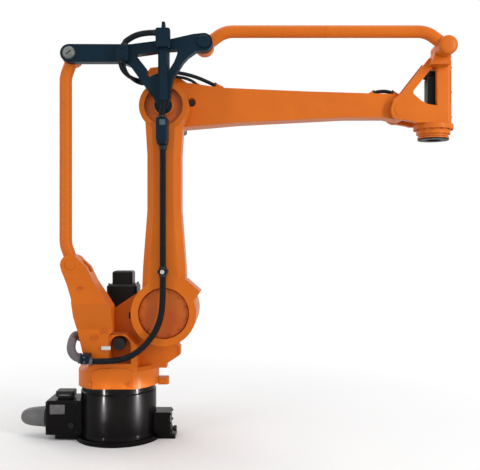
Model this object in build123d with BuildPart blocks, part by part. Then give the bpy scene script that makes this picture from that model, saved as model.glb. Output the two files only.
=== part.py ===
"""Four-axis palletising robot arm with two parallelogram linkages, at its real size.

Origin at the centre of the foot on the floor, +X forwards over the tool, +Z up, millimetres.
The link arm, lever and rods stand on the -Y side, which the dimensions below call the near side.
"""

import os
from math import cos, radians, sin, tan

from build123d import *

# Kinematics, in the side plane.
SHOULDER_X = 200
SHOULDER_Z = 518
LINK_LENGTH = 805
ARM_LENGTH = 940
TOOL_OFFSET = 148
REAR_PIVOT_BACK = 353
REAR_PIVOT_UP = 190
TOP_PIVOT_FORWARD = 158
TOP_PIVOT_UP = 232

# Clearances.
SEAT_GAP = 0.3
RUNNING_GAP = 0.05
OPEN_PIVOT_GAP = 0.5
SIDE_GAP = 5

# Depths across the machine, counted from its middle plane.
ARM_ROOT_DEPTH = 100
ARM_TIP_DEPTH = 80
LINK_DEPTH = 110
LEVER_DEPTH = 40
LEVER_GAP = 10
ROD_DEPTH = 50
EAR_DEPTH = 25

# Base.
PEDESTAL_RADIUS = 152
PEDESTAL_HEIGHT = 220
FOOT_RADIUS = 172
FOOT_HEIGHT = 18
FOOT_FLARE = 14
FOOT_FLARE_OUT = 2
FOOT_BOLT_CIRCLE = 324
FOOT_BOLT_HOLE = 13.5
FOOT_BOLT_COUNT = 8
PEDESTAL_RIM = 4
PEDESTAL_RIM_HEIGHT = 26

JUNCTION_BACK = 284
JUNCTION_WIDTH = 140
JUNCTION_TOP = 158
JUNCTION_CORNER = 8
JUNCTION_CHAMFER = 6
JUNCTION_LIFT = 6
JUNCTION_STEP_BACK = 40
JUNCTION_STEP_UP = 22
CONNECTOR_LENGTH = 74
CONNECTOR_WIDTH = 60
CONNECTOR_HEIGHT = 30
CONNECTOR_BACK = 253
CONNECTOR_NECK = 8
CONNECTOR_NECK_INSET = 12
CONNECTOR_CORNER = 8
HOOD_LENGTH = 116
HOOD_DIAMETER = 84
HOOD_TIP_DIAMETER = 40
HOOD_CENTRE_Z = 79
HOOD_NECK_LENGTH = 12
HOOD_NECK_INSET = 8

SERVICE_FRONT = 214
SERVICE_WIDTH = 92
SERVICE_HEIGHT = 106
SERVICE_FOOT = 20
SERVICE_FOOT_HEIGHT = 16
FITTING_DIAMETER = 24
FITTING_LENGTH = 22
FITTING_Z = 30

# Column.
DRUM_RADIUS = 164
DRUM_FLAT = 143
DRUM_BACK_FLAT = 150
DRUM_HEIGHT = 80
DRUM_CHAMFER = 14
SHOULDER_RADIUS = 125
SHOULDER_NEAR = 45
SHOULDER_FAR = 105
WEB_DEPTH = 50
SHOULDER_BACK_X = -17
SHOULDER_BACK_UP = 5
HUMP_ANGLE = 32
NOSE_REACH = 42
NOSE_TOP_DROP = 132
NOSE_LOW_DROP = 188
PLINTH_NEAR = 138
PLINTH_CORNER = 40
PLINTH_FAR = 136
PLINTH_TOP_Z = 432
PLINTH_BACK_X = -100
PLINTH_FRONT_X = 92
ARCH_X = 28
ARCH_WIDTH = 84
ARCH_SPRING_Z = 388
ARCH_SILL_Z = 318
ARCH_DEPTH = 70
BRACKET_EAR_RADIUS = 38
BRACKET_RIM = 16
BRACKET_TOE_X = -16
BRACKET_FOOT_NEAR = 150
BRACKET_SLOPE_LOW_Z = 455
BRACKET_SLOPE_HIGH_Z = 560
STOP_LUG_REACH = 205
STOP_LUG_WIDTH = 46
STOP_LUG_Z = 214
STOP_LUG_HEIGHT = 28

BUMPER_REACH = 12
BUMPER_WIDTH = 60
BUMPER_SLOPE = 8
CLAMP_BACK = 297
CLAMP_DROP = 171
CLAMP_WIDTH = 32
CLAMP_HEIGHT = 36
CLAMP_NEAR = 205
CLAMP_LOOP_Y = -186
CLAMP_LOOP_DROP = 181
FEED_END_Y = -60
FEED_END_DROP = 116

# Drives.
GEARBOX_RADIUS = 98
FAR_COVER_DEPTH = 18
MOTOR_WIDTH = 125
SWING_MOTOR_X = 8
SWING_MOTOR_Y = 72
SWING_MOTOR_TOP_Z = 618
SWING_CAP_TOP_Z = 672
SWING_CAP_WIDTH = 84
TURN_MOTOR_X = -20
TURN_MOTOR_Y = 204
TURN_MOTOR_TOP_Z = 480
TURN_CAP_HEIGHT = 46
TURN_SEAT_HEIGHT = 24

# Link arm.
LINK_WAIST = 131
LINK_FOOT_RADIUS = 127
LINK_HEAD_RADIUS = 95
LINK_FOOT_WIDTH = 172
LINK_HEAD_WIDTH = 147
LINK_BEVEL = 26
RIM_WIDTH = 28
RECESS_DEPTH = 16
COVER_RADIUS = 97
COVER_THICKNESS = 6
LUG_REACH = 142
LUG_UP = 84
LINK_FLARE_Z = 184
LINK_WAIST_LOW_Z = 400
LINK_WAIST_HIGH_Z = 190
CLIP_UP = 163
CLIP_WIDTH = 38
CLIP_HEIGHT = 16
CLIP_DEPTH = 40
SOCKET_WIDTH = 42
SOCKET_TOP_DROP = 58
SOCKET_LOW_DROP = 157
SOCKET_TAPER = 20
SOCKET_FOOT_WIDTH = 32
SOCKET_DEPTH = 76
CONDUIT_DIAMETER = 24
CONDUIT_STANDOFF = 8
FEED_DIAMETER = 36

# Linkage lever.
LEVER_END_RADIUS = 34
ELBOW_BOSS_RADIUS = 34
PIN_HEAD_RADIUS = 22
PIN_HEAD_DEPTH = 10
MAST_SIDE = 8
MAST_WIDTH = 28
MAST_DEPTH = 26
MAST_LOW_UP = 7
MAST_SHOULDER_UP = 262
MAST_TOP_UP = 301
MAST_TIP_WIDTH = 11
MAST_TIP_LENGTH = 22
MAST_CLAMP_WIDTH = 54
MAST_CLAMP_DEPTH = 22
MAST_CLAMP_LOW_UP = 202
MAST_CLAMP_TOP_UP = 272
LEVER_CLAMP_BACK = 146
LEVER_CLAMP_UP = 184
LEVER_CLAMP_WIDTH = 44
LEVER_CLAMP_HEIGHT = 56
LEVER_CLAMP_DEPTH = 30
HOSE_DIAMETER = 15
LEVER_HOSE_DIAMETER = 22

# Rods.
ROD_TUBE_DIAMETER = 48
ROD_EYE_RADIUS = 37
ROD_BEND_RUN = 78
REAR_ROD_SIDE = 28
UPPER_ROD_SIDE = 57
ROD_BEND_RADIUS = 100
GLAND_RADIUS = 11
GLAND_LENGTH = 30

# Arm.
ARM_ROOT_RADIUS = 92
ARM_TIP_RADIUS = 38
ARM_POCKET_PLACE = (100, 33)
ARM_POCKET_RADIUS = 18
ARM_POCKET_DEPTH = 12
ARM_TAPER_START = 150
ELBOW_HOUSING_NEAR = 44
TILT_GEARBOX_DEPTH = 60
TILT_MOTOR_LENGTH = 120

# Wrist.
CHEEK_DEPTH = 26
WRIST_BOSS_RADIUS = 40
FRAME_FRONT = 62
CHEEK_FRONT = 34
FRAME_DROP = 51
WINDOW_FRONT = 3
WRIST_BLOCK_BACK = 72
WRIST_BLOCK_UP = 10
FRONT_COVER_WIDTH = 124
FRONT_COVER_CORNER = 22
WRIST_MOTOR_WIDTH = 60
WRIST_MOTOR_HEIGHT = 130
WRIST_CAP_HEIGHT = 28
RING_RADIUS = 80
RING_HEIGHT = 20
LOWER_RING_RADIUS = 68
LOWER_RING_HEIGHT = 20
COLLAR_RADIUS = 60
COLLAR_HEIGHT = 10
FLANGE_DIAMETER = 125
FLANGE_THICKNESS = 12
FLANGE_BOLT_CIRCLE = 100
FLANGE_BOLT_COUNT = 6
FLANGE_BOLT_HOLE = 8.4
FLANGE_BORE = 63
FLANGE_BORE_DEPTH = 6

# Pins.
SHOULDER_PIN = 60
ELBOW_PIN = 44
ROD_PIN = 30
WRIST_PIN = 40

# Derived places.
SHOULDER = (SHOULDER_X, SHOULDER_Z)
ELBOW = (SHOULDER_X, SHOULDER_Z + LINK_LENGTH)
REAR_LOW = (SHOULDER_X - REAR_PIVOT_BACK, SHOULDER_Z + REAR_PIVOT_UP)
REAR_HIGH = (ELBOW[0] - REAR_PIVOT_BACK, ELBOW[1] + REAR_PIVOT_UP)
TOP_BACK = (ELBOW[0] + TOP_PIVOT_FORWARD, ELBOW[1] + TOP_PIVOT_UP)
WRIST = (ELBOW[0] + ARM_LENGTH, ELBOW[1])
TOP_FRONT = (WRIST[0] + TOP_PIVOT_FORWARD, WRIST[1] + TOP_PIVOT_UP)
TOOL_X = WRIST[0] + TOOL_OFFSET
LINK_FAR = ARM_ROOT_DEPTH / 2 + SIDE_GAP
LINK_NEAR = LINK_FAR + LINK_DEPTH
LEVER_FAR = LINK_NEAR + LEVER_GAP
LEVER_NEAR = LEVER_FAR + LEVER_DEPTH
ROD_NEAR = LEVER_FAR - SEAT_GAP
ROD_FAR = ROD_NEAR - ROD_DEPTH
ROD_MIDDLE = (ROD_NEAR + ROD_FAR) / 2
EAR_NEAR = ROD_NEAR + SEAT_GAP + EAR_DEPTH
EAR_FAR = ROD_FAR - SEAT_GAP - EAR_DEPTH
CONDUIT_NEAR = LINK_NEAR + CONDUIT_STANDOFF + CONDUIT_DIAMETER / 2
MAST_MIDDLE = LEVER_NEAR + MAST_DEPTH / 2
CHEEK_FAR = ARM_TIP_DEPTH / 2 + SIDE_GAP
NOSE_X = SHOULDER_X + NOSE_REACH
NOSE_TOP_Z = SHOULDER_Z - NOSE_TOP_DROP
NOSE_LOW_Z = SHOULDER_Z - NOSE_LOW_DROP
CLIP_Z = SHOULDER_Z + CLIP_UP
SOCKET_TOP_Z = ELBOW[1] - SOCKET_TOP_DROP
SOCKET_LOW_Z = ELBOW[1] - SOCKET_LOW_DROP
MAST_X = ELBOW[0] + MAST_SIDE
MAST_LOW_Z = ELBOW[1] + MAST_LOW_UP
MAST_SHOULDER_Z = ELBOW[1] + MAST_SHOULDER_UP
MAST_TOP_Z = ELBOW[1] + MAST_TOP_UP
MAST_CLAMP_LOW_Z = ELBOW[1] + MAST_CLAMP_LOW_UP
MAST_CLAMP_TOP_Z = ELBOW[1] + MAST_CLAMP_TOP_UP
LEVER_CLAMP_PLACE = (ELBOW[0] - LEVER_CLAMP_BACK, ELBOW[1] + LEVER_CLAMP_UP)
FRAME_FRONT_X = TOOL_X + FRAME_FRONT
CHEEK_FRONT_X = TOOL_X + CHEEK_FRONT
WINDOW_FRONT_X = TOOL_X - WINDOW_FRONT
WRIST_BLOCK_X = TOOL_X - WRIST_BLOCK_BACK
FRAME_LOW_Z = WRIST[1] - FRAME_DROP
FRAME_TOP_Z = TOP_FRONT[1] - 30
FLANGE_TOP_Z = FRAME_LOW_Z - RING_HEIGHT - LOWER_RING_HEIGHT - COLLAR_HEIGHT - SEAT_GAP
DRUM_LOW_Z = PEDESTAL_HEIGHT + SEAT_GAP
DRUM_TOP_Z = DRUM_LOW_Z + DRUM_HEIGHT

HUMP = radians(HUMP_ANGLE)
CLAMP_PLACE = (SHOULDER_X - CLAMP_BACK, SHOULDER_Z - CLAMP_DROP)


def from_pivot(pivot, points):
    """Place points that are given from a pivot in the side plane."""
    return [(pivot[0] + x, y, pivot[1] + z) for x, y, z in points]


# Hose routes, held all the way, from the link arm's clip to the column's clamp and on.
LOOP_ROUTE = from_pivot(
    SHOULDER,
    [
        (0, -CONDUIT_NEAR, CLIP_UP - CLIP_HEIGHT / 2),
        (0, -CONDUIT_NEAR, 60),
        (-3, -186, 2),
        (-20, -189, -54),
        (-54, -191, -106),
        (-98, -191, -148),
        (-150, -189, -174),
        (-200, CLAMP_LOOP_Y, -CLAMP_LOOP_DROP),
        (CLAMP_WIDTH / 2 - CLAMP_BACK, CLAMP_LOOP_Y, -CLAMP_LOOP_DROP),
    ],
)
FEED_ROUTE = from_pivot(
    SHOULDER,
    [
        (-CLAMP_BACK - CLAMP_WIDTH / 2, -182, -169),
        (-334, -182, -169),
        (-357, -173, -146),
        (-361, -143, -118),
        (-360, -109, -96),
        (-352, -74, -90),
        (-337, FEED_END_Y, -FEED_END_DROP),
        (PLINTH_BACK_X - SEAT_GAP - SHOULDER_X, FEED_END_Y, -FEED_END_DROP),
    ],
)
LEVER_HOSE_ROUTE = from_pivot(
    ELBOW,
    [
        (MAST_SIDE - MAST_CLAMP_WIDTH / 2, -251, 256),
        (-58, -251, 256),
        (-98, -244, 249),
        (-127, -234, 233),
        (-LEVER_CLAMP_BACK + 6, -230, LEVER_CLAMP_UP + LEVER_CLAMP_HEIGHT / 2 + 14),
        (-LEVER_CLAMP_BACK + 6, -230, LEVER_CLAMP_UP + LEVER_CLAMP_HEIGHT / 2),
    ],
)
NECK_ROUTE = from_pivot(
    ELBOW,
    [
        (0, -MAST_MIDDLE, -SOCKET_TOP_DROP),
        (0, -MAST_MIDDLE, 18 - SOCKET_TOP_DROP),
        (MAST_SIDE, -MAST_MIDDLE, MAST_LOW_UP - 18),
        (MAST_SIDE, -MAST_MIDDLE, MAST_LOW_UP),
    ],
)
ELBOW_HOSE_ROUTE = from_pivot(
    ELBOW,
    [
        (-LEVER_CLAMP_BACK - 10, -230, LEVER_CLAMP_UP - LEVER_CLAMP_HEIGHT / 2),
        (-LEVER_CLAMP_BACK - 10, -230, 132),
        (-138, -216, 106),
        (-106, -182, 94),
        (-76, -136, 100),
        (-44, -106, 126),
        (8, -94, 147),
        (64, -88, 143),
        (130, -50, 133),
        (174.6, -24, 116.3),
        (198, -24, 105),
    ],
)
ARM_HOSE_ROUTE = from_pivot(
    WRIST,
    [(-98, 0, 79), (-78.1, 0, 90.5), (-37.9, 0, 90.5), (-18, 0, 79)],
)
GLANDS = [
    (ELBOW[0] + 198, -24, ELBOW[1] + 105, 154.223),
    (WRIST[0] - 98, 0, WRIST[1] + 79, 30),
    (WRIST[0] - 18, 0, WRIST[1] + 79, 150),
]

# Corner points of the cast outlines, given from a pivot.
BRACKET_BACK_LINE = [(48, -378), (40, -356), (12, -238), (6, -202), (4, -130), (-13, -73), (-34, -20)]
BRACKET_FRONT_LINE = [(33, 19), (62, -8), (87, -61), (128, -123), (154, -164)]
LEVER_TOP_LINE = [(-120, 223), (34, 243), (118, 262)]
LEVER_FRONT_LINE = [(129, 197), (100, 177), (81, 157), (62, 128), (42, 94), (34, 60), (30, 22), (20, -20)]
LEVER_BACK_LINE = [(-6, -24), (-42, 32), (-68, 67), (-104, 118), (-121, 142), (-156, 156)]
LEVER_BACK_WINDOW = [(-100, 183), (-15, 195), (-15, 104), (-55, 96), (-57, 128)]
LEVER_FRONT_WINDOW = [(26, 201), (60, 203), (57, 184), (46, 156), (26, 124)]
ARM_TOP_LINE = [(0.598, 79), (0.383, 87), (0.233, 93), (0.101, 111), (0.05, 112)]
ARM_LOW_LINE = [(0.08, -66), (0.315, -47), (0.598, -34), (0.77, -26), (0.94, -26)]
HOUSING_LINE = [(-80, 60), (-84, 150), (-66, 174), (-30, 178), (20, 160), (46, 137), (94, 106), (94, 60)]


def side_plane(near):
    """Give the side plane at a distance towards the near side, facing that side."""
    return Plane.XZ.offset(near)


def route_radii(points):
    """Give each corner of a hose's route an arc as large as its two runs allow."""
    radii = []
    for before, corner, after in zip(points, points[1:], points[2:]):
        incoming = Vector(*corner) - Vector(*before)
        outgoing = Vector(*after) - Vector(*corner)
        run = min(incoming.length, outgoing.length)
        turn = radians(incoming.get_angle(outgoing))
        radii.append(0.45 * run / tan(turn / 2))
    return radii


def hose(points, diameter):
    """Make a plain round hose along straight runs joined by tangent arcs."""
    with BuildPart() as tube:
        with BuildLine():
            route = FilletPolyline(*points, radius=route_radii(points))
        with BuildSketch(Plane(route @ 0, z_dir=route % 0)):
            Circle(diameter / 2)
        sweep()
    print("hose radii", [round(r) for r in route_radii(points)], "length", round(route.length))
    return tube


def save(piece, name):
    """Label a finished piece and write it to its own file."""
    piece.part.label = name
    export_step(piece.part, f"parts/{name}.step")


os.makedirs("parts", exist_ok=True)

# Base.

with BuildPart() as base_pedestal:
    with BuildSketch(Plane.XZ):
        with BuildLine():
            Polyline(
                (0, 0),
                (FOOT_RADIUS, 0),
                (FOOT_RADIUS, FOOT_HEIGHT),
                (PEDESTAL_RADIUS + FOOT_FLARE_OUT, FOOT_HEIGHT),
                (PEDESTAL_RADIUS, FOOT_HEIGHT + FOOT_FLARE),
                (PEDESTAL_RADIUS, PEDESTAL_HEIGHT - PEDESTAL_RIM_HEIGHT),
                (PEDESTAL_RADIUS - PEDESTAL_RIM, PEDESTAL_HEIGHT - PEDESTAL_RIM_HEIGHT + PEDESTAL_RIM),
                (PEDESTAL_RADIUS - PEDESTAL_RIM, PEDESTAL_HEIGHT),
                (0, PEDESTAL_HEIGHT),
                close=True,
            )
        make_face()
    revolve(axis=Axis.Z)
    with Locations((0, 0, FOOT_HEIGHT)):
        with PolarLocations(FOOT_BOLT_CIRCLE / 2, FOOT_BOLT_COUNT, start_angle=180 / FOOT_BOLT_COUNT):
            Hole(FOOT_BOLT_HOLE / 2, depth=FOOT_HEIGHT)
save(base_pedestal, "base_pedestal")

with BuildPart() as junction_box:
    with BuildSketch(side_plane(JUNCTION_WIDTH / 2)):
        with BuildLine():
            Polyline(
                (-JUNCTION_BACK, JUNCTION_STEP_UP),
                (-JUNCTION_BACK + JUNCTION_STEP_BACK, JUNCTION_STEP_UP),
                (-JUNCTION_BACK + JUNCTION_STEP_BACK, JUNCTION_LIFT),
                (0, JUNCTION_LIFT),
                (0, JUNCTION_TOP),
                (-JUNCTION_BACK, JUNCTION_TOP),
                close=True,
            )
        make_face()
    extrude(amount=-JUNCTION_WIDTH)
    fillet(junction_box.edges().filter_by(Axis.Z).group_by(Axis.X)[0], radius=JUNCTION_CORNER)
    box_top = junction_box.faces().sort_by(Axis.Z)[-1]
    chamfer(box_top.edges().filter_by(Axis.Y).sort_by(Axis.X)[0], length=JUNCTION_CHAMFER)
    Cylinder(
        FOOT_RADIUS + SEAT_GAP,
        FOOT_HEIGHT + SEAT_GAP,
        align=(Align.CENTER, Align.CENTER, Align.MIN),
        mode=Mode.SUBTRACT,
    )
    Cylinder(
        PEDESTAL_RADIUS + FOOT_FLARE_OUT + SEAT_GAP,
        PEDESTAL_HEIGHT,
        align=(Align.CENTER, Align.CENTER, Align.MIN),
        mode=Mode.SUBTRACT,
    )
save(junction_box, "junction_box")

with BuildPart() as power_connector:
    with BuildSketch(Plane.XY.offset(JUNCTION_TOP)):
        with Locations((-CONNECTOR_BACK + CONNECTOR_LENGTH / 2, 0)):
            RectangleRounded(
                CONNECTOR_LENGTH - CONNECTOR_NECK_INSET,
                CONNECTOR_WIDTH - CONNECTOR_NECK_INSET,
                CONNECTOR_CORNER,
            )
    extrude(amount=CONNECTOR_NECK)
    with BuildSketch(Plane.XY.offset(JUNCTION_TOP + CONNECTOR_NECK)):
        with Locations((-CONNECTOR_BACK + CONNECTOR_LENGTH / 2, 0)):
            RectangleRounded(CONNECTOR_LENGTH, CONNECTOR_WIDTH, CONNECTOR_CORNER)
    extrude(amount=CONNECTOR_HEIGHT - CONNECTOR_NECK)
    fillet(power_connector.faces().sort_by(Axis.Z)[-1].edges(), radius=CONNECTOR_CORNER / 2)
save(power_connector, "power_connector")

with BuildPart() as cable_entry_hood:
    with BuildSketch(Plane.XZ):
        with BuildLine():
            foot = (-JUNCTION_BACK, HOOD_CENTRE_Z)
            neck = (-JUNCTION_BACK, HOOD_CENTRE_Z + HOOD_DIAMETER / 2 - HOOD_NECK_INSET)
            step = (neck[0] - HOOD_NECK_LENGTH, neck[1])
            brim = (step[0], HOOD_CENTRE_Z + HOOD_DIAMETER / 2)
            shoulder = (-JUNCTION_BACK - HOOD_LENGTH * 0.5, brim[1] - HOOD_NECK_INSET / 2)
            tip = (-JUNCTION_BACK - HOOD_LENGTH * 0.94, HOOD_CENTRE_Z + HOOD_TIP_DIAMETER / 2)
            nose = (-JUNCTION_BACK - HOOD_LENGTH, HOOD_CENTRE_Z)
            Polyline(nose, foot, neck, step, brim, shoulder)
            Spline(shoulder, tip, nose, tangents=[(-1, -0.12), (0, -1)])
        make_face()
    revolve(axis=Axis((0, 0, HOOD_CENTRE_Z), (1, 0, 0)))
save(cable_entry_hood, "cable_entry_hood")

with BuildPart() as service_block:
    with BuildSketch(side_plane(SERVICE_WIDTH / 2)):
        with BuildLine():
            Polyline(
                (0, 0),
                (SERVICE_FRONT + SERVICE_FOOT, 0),
                (SERVICE_FRONT + SERVICE_FOOT, SERVICE_FOOT_HEIGHT * 0.7),
                (SERVICE_FRONT, SERVICE_FOOT_HEIGHT),
                (SERVICE_FRONT, SERVICE_HEIGHT),
                (0, SERVICE_HEIGHT),
                close=True,
            )
        make_face()
    extrude(amount=-SERVICE_WIDTH)
    fillet(service_block.edges().filter_by(Axis.Z).group_by(Axis.X)[-2], radius=6)
    Cylinder(
        FOOT_RADIUS + SEAT_GAP,
        FOOT_HEIGHT + SEAT_GAP,
        align=(Align.CENTER, Align.CENTER, Align.MIN),
        mode=Mode.SUBTRACT,
    )
    Cylinder(
        PEDESTAL_RADIUS + FOOT_FLARE_OUT + SEAT_GAP,
        PEDESTAL_HEIGHT,
        align=(Align.CENTER, Align.CENTER, Align.MIN),
        mode=Mode.SUBTRACT,
    )
save(service_block, "service_block")

with BuildPart() as service_fitting:
    with BuildSketch(Plane.YZ.offset(SERVICE_FRONT)):
        with Locations((0, FITTING_Z)):
            Circle(FITTING_DIAMETER / 2 - 4)
    extrude(amount=FITTING_LENGTH / 2)
    with BuildSketch(Plane.YZ.offset(SERVICE_FRONT + FITTING_LENGTH / 2)):
        with Locations((0, FITTING_Z)):
            Circle(FITTING_DIAMETER / 2)
    extrude(amount=FITTING_LENGTH / 2)
save(service_fitting, "service_fitting")

# Column.

with BuildPart() as column_casting:
    with BuildSketch(Plane.XY.offset(DRUM_LOW_Z)):
        Circle(DRUM_RADIUS)
    extrude(amount=DRUM_HEIGHT)
    chamfer(column_casting.edges().filter_by(GeomType.CIRCLE).group_by(Axis.Z)[-1], length=DRUM_CHAMFER)
    with BuildSketch(Plane.XY.offset(DRUM_LOW_Z)):
        with Locations((DRUM_RADIUS - DRUM_BACK_FLAT, 0)):
            Rectangle(2 * DRUM_RADIUS, 2 * DRUM_FLAT)
    extrude(amount=DRUM_HEIGHT, mode=Mode.INTERSECT)
    with BuildSketch(side_plane(PLINTH_NEAR)):
        with BuildLine():
            Polyline(
                (PLINTH_BACK_X, DRUM_TOP_Z - DRUM_CHAMFER),
                (PLINTH_FRONT_X, DRUM_TOP_Z - DRUM_CHAMFER),
                (PLINTH_FRONT_X, PLINTH_TOP_Z - PLINTH_CORNER),
                (PLINTH_FRONT_X - PLINTH_CORNER, PLINTH_TOP_Z),
                (PLINTH_BACK_X + PLINTH_CORNER / 2, PLINTH_TOP_Z),
                close=True,
            )
        make_face()
    extrude(amount=-(PLINTH_NEAR + PLINTH_FAR))
    with BuildSketch(side_plane(SHOULDER_NEAR)):
        with BuildLine():
            Polyline(
                (SHOULDER_BACK_X, DRUM_TOP_Z - DRUM_CHAMFER),
                (SHOULDER_BACK_X, SHOULDER_Z + SHOULDER_BACK_UP),
                (SHOULDER_X - SHOULDER_RADIUS * sin(HUMP), SHOULDER_Z + SHOULDER_RADIUS * cos(HUMP)),
                SHOULDER,
                (SHOULDER_X, DRUM_TOP_Z - DRUM_CHAMFER),
                close=True,
            )
        make_face()
    extrude(amount=-WEB_DEPTH)
    with BuildSketch(side_plane(SHOULDER_NEAR)):
        with BuildLine():
            Polyline(
                (SHOULDER_X - SHOULDER_RADIUS, DRUM_TOP_Z - DRUM_CHAMFER),
                (SHOULDER_X - SHOULDER_RADIUS, SHOULDER_Z),
                (SHOULDER_X + SHOULDER_RADIUS, SHOULDER_Z),
                (NOSE_X, NOSE_TOP_Z),
                (NOSE_X, NOSE_LOW_Z),
                (SHOULDER_X - 4, DRUM_TOP_Z),
                (DRUM_RADIUS - DRUM_CHAMFER, DRUM_TOP_Z - DRUM_CHAMFER),
                close=True,
            )
        make_face()
        with Locations(SHOULDER):
            Circle(SHOULDER_RADIUS)
    extrude(amount=-(SHOULDER_NEAR + SHOULDER_FAR))
    with BuildSketch(Plane.XY.offset(DRUM_TOP_Z)):
        with Locations((TURN_MOTOR_X, TURN_MOTOR_Y)):
            RectangleRounded(MOTOR_WIDTH + 20, MOTOR_WIDTH + 20, 12)
        with Locations((TURN_MOTOR_X, TURN_MOTOR_Y / 2)):
            Rectangle(MOTOR_WIDTH + 20, TURN_MOTOR_Y)
    extrude(amount=-TURN_SEAT_HEIGHT)
    with BuildSketch(side_plane(PLINTH_NEAR)):
        with Locations((ARCH_X, ARCH_SPRING_Z)):
            Circle(ARCH_WIDTH / 2)
        with Locations((ARCH_X, (ARCH_SPRING_Z + ARCH_SILL_Z) / 2)):
            Rectangle(ARCH_WIDTH, ARCH_SPRING_Z - ARCH_SILL_Z)
    extrude(amount=-ARCH_DEPTH, mode=Mode.SUBTRACT)
save(column_casting, "column_casting")

with BuildPart() as rear_bracket:
    with BuildSketch(side_plane(EAR_NEAR)):
        with BuildLine():
            back = [(REAR_LOW[0] + x, REAR_LOW[1] + z) for x, z in BRACKET_BACK_LINE]
            front = [(REAR_LOW[0] + x, REAR_LOW[1] + z) for x, z in BRACKET_FRONT_LINE]
            toe = [
                (front[-1][0], ARCH_SPRING_Z + ARCH_WIDTH / 2 + BRACKET_RIM),
                (BRACKET_TOE_X, ARCH_SPRING_Z + ARCH_WIDTH / 2),
                (BRACKET_TOE_X, back[0][1]),
            ]
            Polyline(*back, *front, *toe, close=True)
        make_face()
        with Locations(REAR_LOW):
            Circle(BRACKET_EAR_RADIUS)
    extrude(amount=-(EAR_NEAR - EAR_FAR))
    with BuildSketch(side_plane(ROD_NEAR + SEAT_GAP)):
        with Locations(REAR_LOW):
            Circle(ROD_PIN + SIDE_GAP + 24)
        with BuildLine():
            Polyline(
                (REAR_LOW[0] - 120, REAR_LOW[1] - 30),
                (REAR_LOW[0] - 120, REAR_LOW[1] + 120),
                (REAR_LOW[0] + 160, REAR_LOW[1] + 120),
                (REAR_LOW[0] + 160, REAR_LOW[1] - 10),
                (REAR_LOW[0] + 20, REAR_LOW[1] - 40),
                close=True,
            )
        make_face()
    extrude(amount=-(ROD_DEPTH + 2 * SEAT_GAP), mode=Mode.SUBTRACT)
    with BuildSketch(side_plane(EAR_NEAR)):
        with Locations(REAR_LOW):
            Circle(ROD_PIN / 2)
    extrude(amount=-(EAR_NEAR - EAR_FAR), mode=Mode.SUBTRACT)
    with BuildSketch(Plane.YZ.offset(REAR_LOW[0] - BRACKET_EAR_RADIUS)):
        with BuildLine():
            Polyline(
                (-EAR_NEAR, BRACKET_SLOPE_HIGH_Z),
                (-BRACKET_FOOT_NEAR, BRACKET_SLOPE_LOW_Z),
                (-BRACKET_FOOT_NEAR, DRUM_LOW_Z),
                (-EAR_NEAR, DRUM_LOW_Z),
                close=True,
            )
        make_face()
    extrude(amount=SHOULDER_X - REAR_LOW[0] + BRACKET_EAR_RADIUS, mode=Mode.SUBTRACT)
    add(column_casting.part, mode=Mode.SUBTRACT)
save(rear_bracket, "rear_bracket")

with BuildPart() as turn_stop_lug:
    with BuildSketch(Plane.XY.offset(STOP_LUG_Z)):
        with Locations((STOP_LUG_REACH / 2, 0)):
            Rectangle(STOP_LUG_REACH, STOP_LUG_WIDTH)
    extrude(amount=STOP_LUG_HEIGHT)
    fillet(turn_stop_lug.edges().filter_by(Axis.Z).group_by(Axis.X)[-1], radius=12)
    Cylinder(
        DRUM_RADIUS + SEAT_GAP,
        DRUM_TOP_Z,
        align=(Align.CENTER, Align.CENTER, Align.MIN),
        mode=Mode.SUBTRACT,
    )
save(turn_stop_lug, "turn_stop_lug")

with BuildPart() as swing_bumper:
    with BuildSketch(side_plane(SHOULDER_NEAR - 10)):
        with BuildLine():
            Polyline(
                (NOSE_X, NOSE_LOW_Z),
                (NOSE_X + BUMPER_REACH, NOSE_LOW_Z + BUMPER_SLOPE),
                (NOSE_X + BUMPER_REACH, NOSE_TOP_Z - 2 * BUMPER_SLOPE),
                (NOSE_X, NOSE_TOP_Z - BUMPER_SLOPE),
                close=True,
            )
        make_face()
    extrude(amount=-BUMPER_WIDTH)
save(swing_bumper, "swing_bumper")

with BuildPart() as swing_gearbox:
    with BuildSketch(side_plane(LINK_FAR - SEAT_GAP)):
        with Locations(SHOULDER):
            Circle(GEARBOX_RADIUS)
    extrude(amount=-(LINK_FAR - SEAT_GAP - SHOULDER_NEAR))
    with BuildSketch(side_plane(LINK_FAR - SEAT_GAP)):
        with Locations(SHOULDER):
            Circle(SHOULDER_PIN / 2)
    extrude(amount=LINK_DEPTH + SEAT_GAP - RECESS_DEPTH)
save(swing_gearbox, "swing_gearbox")

with BuildPart() as swing_far_cover:
    with BuildSketch(side_plane(-SHOULDER_FAR)):
        with Locations(SHOULDER):
            Circle(GEARBOX_RADIUS)
    extrude(amount=-FAR_COVER_DEPTH)
    chamfer(swing_far_cover.faces().sort_by(Axis.Y)[-1].edges(), length=FAR_COVER_DEPTH / 3)
save(swing_far_cover, "swing_far_cover")


def motor(place, width, cap_width, height, cap_height):
    """Make a square servo motor with its narrower end cap, standing on a plane."""
    with BuildPart() as housing:
        with BuildSketch(place):
            RectangleRounded(width, width, width / 10)
        extrude(amount=height)
        chamfer(housing.faces().sort_by(Axis(place.origin, place.z_dir))[-1].edges(), length=width / 16)
        with BuildSketch(place.offset(height)):
            RectangleRounded(cap_width, cap_width, cap_width / 10)
        extrude(amount=cap_height)
        chamfer(housing.faces().sort_by(Axis(place.origin, place.z_dir))[-1].edges(), length=cap_width / 14)
    return housing


swing_motor = motor(
    Plane.XY.offset(PLINTH_TOP_Z).move(Location((SWING_MOTOR_X, SWING_MOTOR_Y, 0))),
    MOTOR_WIDTH,
    SWING_CAP_WIDTH,
    SWING_MOTOR_TOP_Z - PLINTH_TOP_Z,
    SWING_CAP_TOP_Z - SWING_MOTOR_TOP_Z,
)
save(swing_motor, "swing_motor")

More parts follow.
